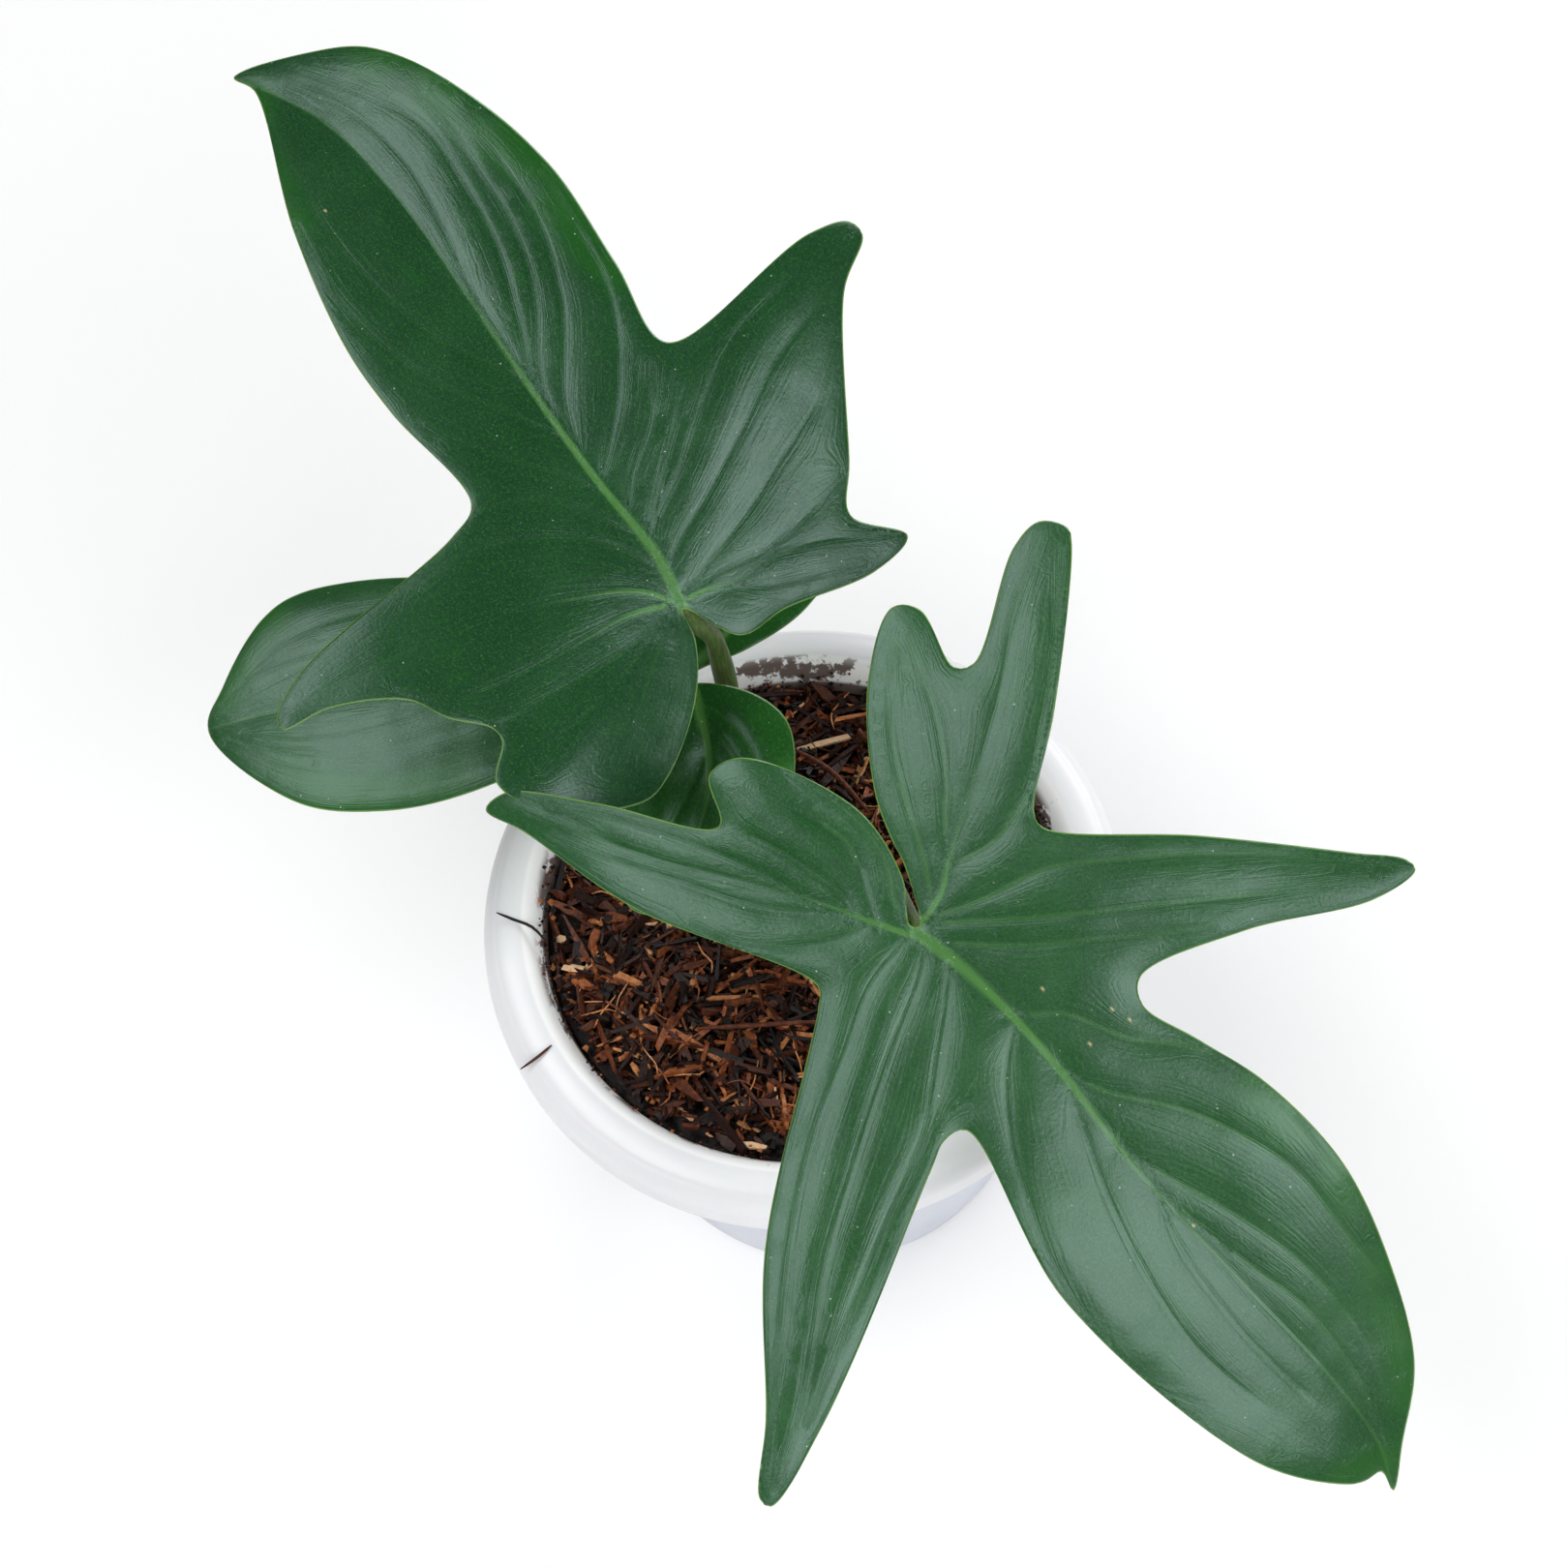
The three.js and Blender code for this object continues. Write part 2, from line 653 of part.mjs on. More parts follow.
group.add(vessel, plant);

export default group;
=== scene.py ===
import math
import random

import bpy
import numpy as np
from mathutils import Matrix, Vector, geometry, kdtree, noise


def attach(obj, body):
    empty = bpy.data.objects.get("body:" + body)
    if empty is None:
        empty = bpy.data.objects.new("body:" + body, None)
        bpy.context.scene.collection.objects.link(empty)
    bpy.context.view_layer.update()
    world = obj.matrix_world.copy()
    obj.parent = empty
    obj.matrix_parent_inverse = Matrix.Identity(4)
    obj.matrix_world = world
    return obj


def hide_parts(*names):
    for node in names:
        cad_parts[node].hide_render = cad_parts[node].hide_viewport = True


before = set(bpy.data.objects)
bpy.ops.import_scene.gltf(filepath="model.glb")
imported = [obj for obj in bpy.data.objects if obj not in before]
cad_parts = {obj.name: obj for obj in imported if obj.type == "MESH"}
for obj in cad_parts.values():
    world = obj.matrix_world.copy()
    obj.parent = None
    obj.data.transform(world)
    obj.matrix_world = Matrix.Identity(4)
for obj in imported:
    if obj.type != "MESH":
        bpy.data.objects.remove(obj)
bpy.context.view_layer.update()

# A young oakleaf philodendron in a white plastic nursery pot. Lengths are in millimetres,
# unless a heading says metres, and become metres where a mesh is made. Places and sizes
# repeat those of the solids. Blades A and B bend further than their solids.

MM = 0.001

# Camera, as it stood for the photograph

CAMERA_PLACE = (0.3, -200.7, 529.9)
CAMERA_ELEVATION = math.radians(62.9)
CAMERA_ROLL = math.radians(-9.15)
CAMERA_LENS = 60
CAMERA_SENSOR = 36

# Pot

POT_HEIGHT = 90
POT_BASE_RADIUS = 42
POT_WALL_TOP_RADIUS = 51
POT_WALL = 2
POT_FLOOR = 2.5
POT_FOOT_ROUND = 1.3
RIM_RADIUS = 60
RIM_CREST_RADIUS = 53.2
RIM_LOWER_EDGE = 79.5
RIM_INNER_RADIUS = 48.6
RIM_ROUND_HEIGHT = 5.5
RIM_ROUND_PULL = 2.6
RIM_LIP_WIDTH = 1.8
RIM_LIP_HEIGHT = 1.8
RIM_SEAM_RADIUS = 57.2
RIM_SEAM_DEPTH = 0.12
POT_SIDES = 288
FLUTE_COUNT = 16
FLUTE_DEPTH = 0.7
DRAIN_HOLE_COUNT = 6
DRAIN_HOLE_RADIUS = 3.5
DRAIN_CIRCLE_RADIUS = 27
HOLE_SIDES = 32

# Potting mix, stem and petioles

MIX_TOP = 84
MIX_MOUND = 0.6
MIX_SIDES = 144
MIX_RINGS = 44
MIX_BED_DEPTH = 2.0
CHIP_COUNT = 2700
CRUMB_COUNT = 3600
THREAD_COUNT = 220
THREAD_SIDES = 6
THREAD_LINKS = 4
CHIP_TONES = (0.08, 0.33, 0.55, 0.7, 0.84, 0.97), (19, 28, 25, 16, 9, 3)
CRUMB_TONES = (0.06, 0.35, 0.6, 0.84), (44, 30, 16, 10)
MIX_SEED = 4688
STEM_RADIUS = 5
STEM_TOP = 98
STEM_RINGS = 40
STEM_CENTRE = (-0.2, 2.2)
HOLE_DEPTH = 6
STEM_SIDES = 32
PETIOLE_SIDES = 16
GAP = 0.3

# Blades

BLADE_THICKNESS = 0.45
SEAT_REACH = 1.2
WAVE_START = 25
BACK_BEND = 0.4
LOBE_ROOT = 15
LOBE_START = 8
OUTLINE_STEP = 0.9
LATTICE_STEP = 1.15
VEIN_STEP = 0.55
LOBE_SPREAD = 22
GROOVE_WIDTH = 0.5
PLEAT_HEIGHT = 0.8
VEIN_FADE = 4.0
MARGIN_ROWS = (0.35, 0.9)
SPECK_RINGS = (0, 0.3, 0.55)
SPECK_SIDES = 8

# Half widths of a vein at its two ends, how far it stands out below the blade, and how far
# beside it the rows of the mesh run.
VEIN_KINDS = {
    "midrib": {"width": (0.95, 0.2), "below": 0.9, "rows": (0.4, 0.8, 1.3, 1.9)},
    "main": {"width": (0.42, 0.05), "below": 0.45, "rows": (0.3, 0.65, 1.2)},
    "side": {"width": (0.16, 0.05), "below": 0.12, "rows": (0.24, 0.6, 1.1)},
}

# Looks: where each one of the pot begins and ends, in metres, then the colours

# Heights at which the painted shade begins: below them the pot's wall is painted a darker grey-blue.
WALL_PAINTED_SHADE = (0.079, 0.074)
SMEAR_FAR_SIDE = (0.03, 0.06)
SMEAR_RISE = 0.0035
SMEAR_HEIGHT = (0.0885, 0.0862)
MIX_LINE = (0.0858, 0.0848)
# Pale green of painted sheen: fine flecks that stand for glints on the leaf's grain.
PAINTED_SHEEN_FLECKS = (0.075, 0.17, 0.105, 1)
VEIN_GREEN = (0.085, 0.24, 0.045, 1)
EDGE_GREEN = (0.16, 0.3, 0.06, 1)
DUST = (0.5, 0.6, 0.52, 1)
SPECK_BROWN = (0.5, 0.42, 0.2, 1)
VEIN_BELOW = (0.3, 0.42, 0.16, 1)
SMEAR_BROWN = (0.075, 0.03, 0.018, 1)

# Stage and lights, in metres

FLOOR_RADIUS = 1.5
COVE_ROUND = 0.6
COVE_HEIGHT = 1.8
COVE_STEPS = 16
COVE_SIDES = 96
LIGHT_AIM = 0.1
WORLD_STRENGTH = 0.08

# Soft boxes: name, azimuth, elevation, distance, width, height and power
LIGHTS = [
    ("soft_left", 180, 62, 1.25, 1.15, 0.6, 10),
    ("soft_right", 301, 43, 1.25, 1.1, 0.62, 11.5),
    ("soft_front", 255, 4, 1.6, 1.2, 0.7, 3),
    ("soft_back", 52, 24, 1.6, 1.3, 0.7, 15),
]

# Each leaf, in its own plane: x runs from the base to the tip, y to the leaf's left. The
# points of outlines and veins were read off the photograph, and a program turned them
# into this plane.

LEAVES = {}


def leaf_row(**values):
    """A leaf's values, with plain ones for those it doesn't name."""
    plain = dict(main=[], unfold=0, curl=0, twist=0, flatten=0, lobes=[], specks=[])
    return {**plain, **values}


LEAVES["a"] = leaf_row(
    slot="leaf_dark", base=(-11.6, 24.6, 158.4), tip=(-74.5, 127.2, 188.4),
    up=(0.02, -0.25, 0.97), arch=9, rise=0.14, droop=0.0032, wave=(2, 78, 0.6), rib=0.6,
    fresh=[(9, [(108, -21), (91, -26), (72, -29), (52, -27)]), (6, [(118, 0), (110, 5), (92, 10)])],
    fold=(-0.07, 0.08), curl=0.0008, twist=-0.12,
    lobes=[(-63, 0, 0.1), (69, 0.02, 0.09), (110, 0.17, -0.02)], pleat=(0.13, 0.04), groove=0.05,
    line=(0, 0.05),
    outline=[
        (124, 0), (114.5, -16.5), (107.5, -22), (91, -27.5), (71.5, -30), (51, -27.5),
        (35, -25.5), (35.5, -56.5), (33.5, -63.5), (30.5, -64), (24.5, -55), (2.5, -38),
        (-4.5, -32.5), (-12.5, -38.5), (-14, -30), (-10, -13.5), (-9, -5), (0, 0), (-5, 1.5),
        (-12.5, 7.5), (-20, 19.5), (-21, 25.5), (-13.5, 39), (-5.5, 42.5), (-0.5, 37.5),
        (2, 37.5), (7.5, 42), (13.5, 45), (20.5, 55.5), (22.5, 63.5), (24.5, 63.5),
        (28.5, 55.5), (31, 23), (33.5, 17), (54, 17.5), (67.5, 16.5), (90, 10.5), (119, -1),
    ],
    midrib=[(0, 0), (9, -2), (25, -2), (42, -3), (63, -5), (86, -7), (106, -6), (124, 0)],
    main=[
        [(1, -1), (0, -5), (-2, -10), (-2, -17), (-5, -26), (-12, -38)],
        [(1, 0), (6, 4), (11, 13), (15, 23), (21, 44), (24, 62)],
        [(2, 2), (4, 8), (5, 17), (6, 27), (9, 38), (16, 45)],
    ],
    side=[
        [(38, -2), (46, -5), (54, -9), (66, -14), (80, -17), (93, -18), (116, -9)],
        [(43, -3), (54, -5), (62, -6), (77, -10), (89, -12), (103, -11), (115, -6)],
        [(33, -2), (43, -5), (56, -14), (66, -18), (78, -20), (91, -21), (105, -19)],
        [(28, -2), (38, -6), (51, -16), (65, -22), (80, -24), (95, -23)],
        [(24, -2), (28, -7), (35, -15), (47, -23), (59, -26), (72, -28)],
        [(17, -2), (22, -7), (27, -15), (34, -21)],
        [(12, -2), (17, -8), (22, -15), (28, -23)],
        [(9, -2), (13, -5), (18, -15), (24, -25), (29, -36), (31, -51), (32, -63)],
        [(5, -1), (8, -5), (11, -13), (16, -25), (22, -38), (26, -52), (31, -62)],
        [(2, -1), (3, -7), (6, -19), (10, -30), (13, -39), (19, -49)],
        [(2, -1), (1, -9), (-1, -18), (0, -28), (1, -35)],
        [(0, -2), (-2, -8), (-6, -15), (-9, -22), (-12, -29)],
        [(45, -3), (52, 0), (61, 4), (73, 6), (83, 6), (97, 4), (112, 0)],
        [(34, -2), (42, 2), (50, 7), (61, 11), (75, 12), (91, 9)],
        [(22, -2), (30, 3), (38, 9), (49, 14)],
        [(13, -2), (22, 3), (29, 10), (32, 17)],
        [(7, -1), (16, 4), (23, 13), (27, 22), (27, 32)],
        [(1, 3), (0, 10), (0, 19), (1, 29), (2, 36)],
        [(1, 3), (-1, 8), (-4, 18), (-6, 29), (-8, 36)],
        [(0, 3), (-2, 6), (-8, 15), (-15, 25)],
        [(0, 1), (-5, 4), (-11, 10), (-17, 19)],
    ],
    specks=[(90, 4)],
    petiole=[
        (-1.6, 4.6, 98.3), (-1.6, 4.7, 101), (-2.4, 7.8, 104), (-4.4, 15, 112),
        (-6.6, 23.3, 123), (-6.9, 25.4, 131.8), (-7.2, 25.8, 139.9), (-7.7, 25, 147.4),
        (-9.5, 24.5, 152.7),
    ],
    radii=(2.2, 1.5),
)
LEAVES["b"] = leaf_row(
    slot="leaf_green", base=(16.6, -39.7, 159.2), tip=(77.3, -124.6, 106.7), up=(0, -0.42, 0.9),
    arch=9, rise=0.12, droop=0.0024, wave=(2.2, 72, 2.2), rib=0.62,
    fresh=[(6, [(106, 12), (86, 21), (68, 25), (52, 24)]), (6, [(110, -5), (112, 4)])],
    fold=(-0.14, 0.1), unfold=0.1, curl=0.0011, twist=-0.1, flatten=-3,
    lobes=[(-57, 0.06, -0.1), (58, 0.05, 0), (-147, -0.05, -0.15), (175, 0.08, 0.07)],
    pleat=(0.3, 0.15), groove=0.04, line=(0, 0.22),
    outline=[
        (-1, 0), (-7.5, 4), (-20, 5.5), (-37.5, -3), (-38.5, -8.5), (-31.5, -12.5),
        (-46, -24.5), (-57, -35), (-57, -39.5), (-50.5, -37), (-30, -31), (-3, -17),
        (-0.5, -19), (4, -25), (22, -49.5), (40.5, -65.5), (49, -74), (51, -73.5), (47, -60),
        (29, -22), (27, -17.5), (28, -14), (57, -19.5), (96.5, -13.5), (109.5, -5.5),
        (112, -2.5), (113, 0.5), (117, 0), (111.5, 6), (102, 15.5), (86, 22.5), (68.5, 26.5),
        (51.5, 25.5), (40, 22), (30.5, 19), (27, 21.5), (31.5, 38), (40, 55.5), (40.5, 63),
        (38.5, 63), (33, 58), (16, 42), (0, 25), (-2.5, 25.5), (-12.5, 38), (-30, 57),
        (-32, 58), (-35.5, 55.5), (-35, 50), (-25.5, 33.5), (-27, 31), (-37, 33), (-40, 30),
        (-33.5, 19.5), (-20.5, 9.5), (-13, 6.5), (-9, 5.5), (0, 1),
    ],
    midrib=[(0, 0), (10, 2), (27, 3), (49, 2), (73, 3), (96, 4), (109, 3), (117, 0)],
    main=[
        [(0, -1), (-5, -4), (-12, -8), (-21, -14), (-29, -20), (-38, -26), (-55, -35)],
        [(0, 1), (-2, 7), (-5, 11), (-12, 22), (-20, 34), (-27, 43), (-34, 55)],
    ],
    side=[
        [(0, 3), (3, 12), (5, 21), (12, 32), (21, 44), (31, 55), (39, 62)],
        [(0, -1), (2, -11), (7, -20), (13, -31), (23, -45), (35, -58), (48, -72)],
        [(2, 0), (5, -3), (12, -16), (19, -28), (29, -44), (42, -60), (49, -71)],
        [(7, 1), (10, -2), (16, -9), (24, -19), (30, -32), (37, -46), (45, -61)],
        [(21, 2), (24, -2), (31, -8), (40, -13), (55, -18), (76, -18), (97, -11)],
        [(34, 2), (41, -1), (52, -5), (65, -8), (77, -9), (91, -7), (106, -3)],
        [(54, 2), (64, -1), (79, -2), (93, -1), (107, 1)],
        [(30, 3), (37, 6), (48, 14), (64, 20), (77, 20), (90, 19), (102, 13)],
        [(45, 2), (54, 5), (65, 9), (78, 12), (90, 12), (104, 9)],
        [(59, 3), (70, 5), (84, 8), (98, 7), (109, 4)],
        [(19, 2), (24, 9), (33, 14), (41, 21), (55, 25), (71, 25)],
        [(4, 2), (12, 11), (18, 20), (25, 30), (28, 35)],
        [(1, 3), (9, 14), (19, 29), (29, 44), (37, 57)],
        [(-5, 11), (-8, 13), (-15, 19), (-23, 24), (-35, 29)],
        [(-4, 11), (-3, 18), (-5, 26), (-11, 34), (-20, 45), (-30, 55)],
        [(-2, 5), (-7, 8), (-16, 12), (-25, 17), (-34, 25)],
        [(-4, -4), (-9, -2), (-17, 1), (-24, -1), (-32, -4)],
        [(-7, -6), (-11, -5), (-20, -7), (-29, -10), (-34, -9)],
        [(-2, -1), (-6, 1), (-12, 4), (-21, 4), (-31, 1)],
        [(-12, -9), (-21, -12), (-31, -17), (-42, -24), (-51, -31)],
        [(-5, -5), (-6, -9), (-10, -16), (-16, -22), (-22, -25)],
        [(-9, -7), (-18, -16), (-29, -23), (-38, -29), (-47, -34)],
    ],
    specks=[(19, 9), (28, 15), (31, 16), (30, 9), (62, 3)],
    petiole=[
        (1.2, -0.6, 98.3), (1.2, -0.7, 101), (2, -1.8, 105), (4.5, -5, 116), (9.5, -13, 135),
        (14, -26, 150.5), (16, -34.5, 155.4),
    ],
    radii=(2.1, 1.5),
)
LEAVES["c"] = leaf_row(
    slot="leaf_green", base=(-25.8, 27.2, 129.4), tip=(-99.9, 35.8, 124.8),
    up=(-0.05, -0.2, 0.97), arch=4, rise=0.16, droop=0.01, wave=(0.8, 50, 0.5), rib=0.6,
    fresh=[(7, [(62, 12), (44, 17), (28, 15)]), (6, [(72, -6), (62, -19)])], fold=(0.02, 0.01),
    pleat=(0.06, 0.06), groove=0.02, line=(0.05, 0.05),
    outline=[
        (75, 0), (72, -7), (64, -19.5), (57, -23.5), (35, -24), (23.5, -20), (0, -2),
        (1, 3.5), (7, 9), (26.5, 16.5), (43, 18.5), (58, 15.5),
    ],
    midrib=[(0, 0), (18, -2), (37, -3), (56, -2.3), (75, 0)],
    side=[
        [(3, -1), (20, -12), (40, -18), (60, -14), (72, -4)],
        [(12, -1), (30, -10), (48, -12), (66, -8), (73, -2)],
        [(26, -3), (40, -8), (56, -8), (70, -3)],
        [(3, 1), (18, 8), (38, 13), (58, 10), (71, 3)],
        [(12, -1), (28, 5), (44, 8), (60, 6), (72, 1)],
        [(25, -2), (38, 2), (52, 4), (68, 2)],
    ],
    petiole=[
        (-7.5, 5.5, 79), (-7.5, 5.5, 84), (-7.6, 5.8, 88), (-9.5, 10, 97), (-14, 18, 110),
        (-20.5, 24.5, 121.5),
    ],
    radii=(1.5, 1.1),
)
LEAVES["d"] = leaf_row(
    slot="leaf_fresh", base=(-12.5, 20.7, 137.3), tip=(-28.6, -9.4, 116.3), up=(0, -0.45, 0.88),
    arch=3.5, rise=0.16, droop=0.012, wave=(0.5, 30, 1), rib=0.9,
    fresh=[(5, [(38, 6), (24, 18), (10, 20)])], fold=(0.02, 0.02), pleat=(0.3, 0.3), groove=0.12,
    line=(0.2, 0.2),
    outline=[
        (-2.5, 7), (0.5, 16.5), (9.5, 20.5), (22.5, 19.5), (36, 9), (40, 0), (36, -4),
        (14.5, -6.5), (1, -4),
    ],
    midrib=[(0, 0), (9, 5), (18, 7), (28, 6), (40, 0)],
    side=[
        [(1, 1), (5, 10), (14, 16), (26, 15), (37, 5)],
        [(4, 3), (11, 11), (21, 13), (31, 9), (38, 2)],
        [(10, 5), (19, 10), (28, 8), (37, 2)],
        [(2, 1), (12, -2), (24, -3), (36, -2)],
        [(9, 5), (19, 3), (30, 1), (38, 0)],
    ],
    specks=[(9, 14)],
    petiole=[
        (-4.5, 10.5, 79), (-4.5, 10.5, 84), (-4.6, 10.7, 88), (-6.5, 14, 98), (-9, 18, 114),
        (-11.3, 21.5, 128),
    ],
    radii=(1.4, 1),
)
LEAVES["e"] = leaf_row(
    slot="leaf_fresh", base=(-7.3, 32.4, 130.9), tip=(18.7, 50.8, 130.2), up=(0.1, -0.2, 0.97),
    arch=2.5, rise=0.14, droop=0.014, wave=(0.4, 25, 0), rib=0.9,
    fresh=[(4, [(30, 2), (18, 7), (4, 7)])], fold=(0.02, 0.02), pleat=(0.2, 0.2), groove=0.05,
    line=(0.1, 0.1),
    outline=[
        (-6, 0), (-4.5, -0.5), (3.5, -4), (15.5, -5.5), (32, 0), (22, 6.5), (6, 8.5),
        (-1, 6.5), (-5, 3.5),
    ],
    midrib=[(-4, 0.5), (4, 0.8), (14, 0.6), (32, 0)],
    side=[
        [(-2, 1), (7, 5), (18, 5), (29, 2)],
        [(2, 1), (12, -3), (24, -2), (30, 0)],
    ],
    petiole=[
        (1.5, 12, 79), (1.5, 12, 84), (1.4, 12.3, 88), (-1.4, 19, 98), (-6.8, 27.5, 107),
        (-7.6, 31.6, 117),
    ],
    radii=(1.3, 0.9),
)

# Meshes


def linked(name, data):
    thing = bpy.data.objects.new(name, data)
    bpy.context.scene.collection.objects.link(thing)
    return thing


def polar(radius, angle):
    return radius * math.cos(angle), radius * math.sin(angle)


def ring_faces(rings, sides, reverse=False):
    """Faces between neighbouring rings that have the same number of places."""
    faces = []
    for a in range(0, (rings - 1) * sides, sides):
        for j in range(sides):
            k = (j + 1) % sides
            face = (a + j, a + k, a + sides + k, a + sides + j)
            faces.append((face[0], *face[:0:-1]) if reverse else face)
    return faces


def tube_faces(rings, sides):
    """Faces between the rings and one that closes each end."""
    last = (rings - 1) * sides
    ends = [list(range(sides))[::-1], list(range(last, last + sides))]
    return ring_faces(rings, sides) + ends


class Heap:
    """Many small shapes that become one piece, each with a tone of its own."""

    def __init__(self):
        self.places, self.faces, self.tones = [], [], []

    def add(self, places, faces, tone):
        start = len(self.places)
        self.places += places
        self.faces += [[start + v for v in face] for face in faces]
        self.tones += [tone] * len(places)

    def piece(self, name, material, smooth=False):
        return make_piece(name, self.places, self.faces, material, smooth, tone=self.tones)


def make_piece(name, places, faces, material, smooth=True, **attributes):
    """A mesh object from places in millimetres, with one number a vertex for each attribute."""
    mesh = bpy.data.meshes.new(name)
    mesh.from_pydata((np.asarray(places, float) * MM).tolist(), [], [list(f) for f in faces])
    mesh.update()
    mesh.polygons.foreach_set("use_smooth", [smooth] * len(mesh.polygons))
    for key, values in attributes.items():
        attribute = mesh.attributes.new(key, "FLOAT", "POINT")
        attribute.data.foreach_set("value", np.asarray(values, np.float32))
    mesh.materials.append(material)
    return linked(name, mesh)


def place_piece(piece, slot, *nodes):
    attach(piece, "root")
    if nodes:
        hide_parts(*nodes)


def smooth_curve(points, step, closed=False):
    """Places about step apart on a centripetal curve through the points."""
    points = np.array(points, float)
    count = len(points)
    places = []
    for i in range(count if closed else count - 1):
        here, there = points[i], points[(i + 1) % count]
        before = points[i - 1] if closed or i > 0 else 2 * here - there
        after = points[(i + 2) % count] if closed or i + 2 < count else 2 * there - here
        pairs = ((before, here), (here, there), (there, after))
        d0, d1, d2 = (np.linalg.norm(b - a) ** 0.5 for a, b in pairs)
        leave = ((here - before) / d0 - (there - before) / (d0 + d1) + (there - here) / d1) * d1
        reach = ((there - here) / d1 - (after - here) / (d1 + d2) + (after - there) / d2) * d1
        steps = max(1, round(np.linalg.norm(there - here) / step))
        t = np.arange(steps)[:, None] / steps
        square = 3 * (there - here) - 2 * leave - reach
        cube = 2 * (here - there) + leave + reach
        places.append(here + leave * t + square * t**2 + cube * t**3)
    if not closed:
        places.append(points[-1:])
    return np.concatenate(places)


def inside(outline, places):
    """True for each place that lies inside the closed outline."""
    result = np.zeros(len(places), bool)
    x, y = places[:, 0], places[:, 1]
    for (ax, ay), (bx, by) in zip(outline, np.roll(outline, 1, axis=0)):
        if ay == by:
            continue
        crosses = (ay > y) != (by > y)
        result ^= crosses & (x < (bx - ax) * (y - ay) / (by - ay) + ax)
    return result


def tree_of(places):
    tree = kdtree.KDTree(len(places))
    for i, place in enumerate(places):
        tree.insert((place[0], place[1], place[2] if len(place) > 2 else 0), i)
    tree.balance()
    return tree


def distances_to(tree, places):
    """The distance from each flat place to the tree, and which of its points is the nearest."""
    found = [tree.find((x, y, 0)) for x, y in places]
    return np.array([hit[2] for hit in found]), np.array([hit[1] for hit in found])


def left_of(steps):
    """One unit to the left of each flat step."""
    return np.stack([-steps[:, 1], steps[:, 0]], 1) / np.linalg.norm(steps, axis=1)[:, None]


def smooth_step(low, high, value):
    t = np.clip((value - low) / (high - low), 0, 1)
    return t * t * (3 - 2 * t)


class Spacing:
    """Keeps places that lie far enough from the ones kept before."""

    def __init__(self):
        self.cells = {}
        self.kept = []

    def add_all(self, places, clearance=0.0):
        for place in places:
            self.add(place, clearance)

    def add(self, place, clearance=0.0):
        x, y = float(place[0]), float(place[1])
        column, row = math.floor(x), math.floor(y)
        if clearance:
            for i in (column - 1, column, column + 1):
                for j in (row - 1, row, row + 1):
                    for px, py in self.cells.get((i, j), ()):
                        if (px - x) ** 2 + (py - y) ** 2 < clearance**2:
                            return
        self.cells.setdefault((column, row), []).append((x, y))
        self.kept.append((x, y))


# Blades


def blade_frame(leaf):
    """The blade's base, its three axes and its length."""
    base = np.array(leaf["base"], float)
    along = np.array(leaf["tip"], float) - base
    length = np.linalg.norm(along)
    along /= length
    up = np.array(leaf["up"], float)
    up -= along * (up @ along)
    up /= np.linalg.norm(up)
    return base, along, np.cross(up, along), up, length


def midrib_at(leaf, x):
    """How far the midrib lies to the left at x."""
    return np.interp(x, *np.array(leaf["midrib"], float).T)


def bowed(height, t):
    """A bow along the blade, weaker behind its base."""
    return 4 * height * t * (1 - np.where(t > 0, t, BACK_BEND * t))


def blade_height(leaf, length, x, y):
    """The height of the blade's middle surface above its own plane."""
    rib = smooth_curve(leaf["midrib"], 1.0)
    offset = y - np.interp(x, rib[:, 0], rib[:, 1])
    aside = np.abs(offset)
    t = x / length
    height, wave_length, phase = leaf["wave"]
    swing = np.sin(2 * math.pi * x / wave_length + phase * np.sign(offset))
    bent = leaf["rise"] * aside - leaf["droop"] * aside**2
    return bowed(leaf["arch"], t) + bent + height * swing * aside**2 / (aside**2 + WAVE_START**2)


def living_bend(leaf, length, x, y):
    """How the two halves and the lobes bend away from the plain surface."""
    aside = y - midrib_at(leaf, x)
    right, left = leaf["fold"]
    t = x / length
    right = right + leaf["unfold"] * np.clip(t, 0, 1)
    height = np.where(aside < 0, right, left) * np.abs(aside) + leaf["twist"] * t * aside
    height += leaf["curl"] * aside**2
    height += bowed(leaf["flatten"], t)
    turn = np.degrees(np.arctan2(y, x))
    reach = np.hypot(x, y)
    for angle, lift, tilt in leaf["lobes"]:
        away = (turn - angle + 180) % 360 - 180
        share = np.exp(-((away / LOBE_SPREAD) ** 2)) * (1 - np.exp(-((reach / LOBE_ROOT) ** 2)))
        cosine, sine = math.cos(math.radians(angle)), math.sin(math.radians(angle))
        run, side = x * cosine + y * sine, y * cosine - x * sine
        height += share * (lift * np.maximum(run - LOBE_START, 0) + tilt * side)
    return height


def leaf_veins(leaf):
    """(kind, places, share of the way along each place) for every vein of the leaf."""
    named = [("midrib", leaf["midrib"])]
    named += [("main", vein) for vein in leaf["main"]]
    named += [("side", vein) for vein in leaf["side"]]
    result = []
    for kind, points in named:
        places = smooth_curve(points, VEIN_STEP)
        result.append((kind, places, np.linspace(0, 1, len(places))))
    return result


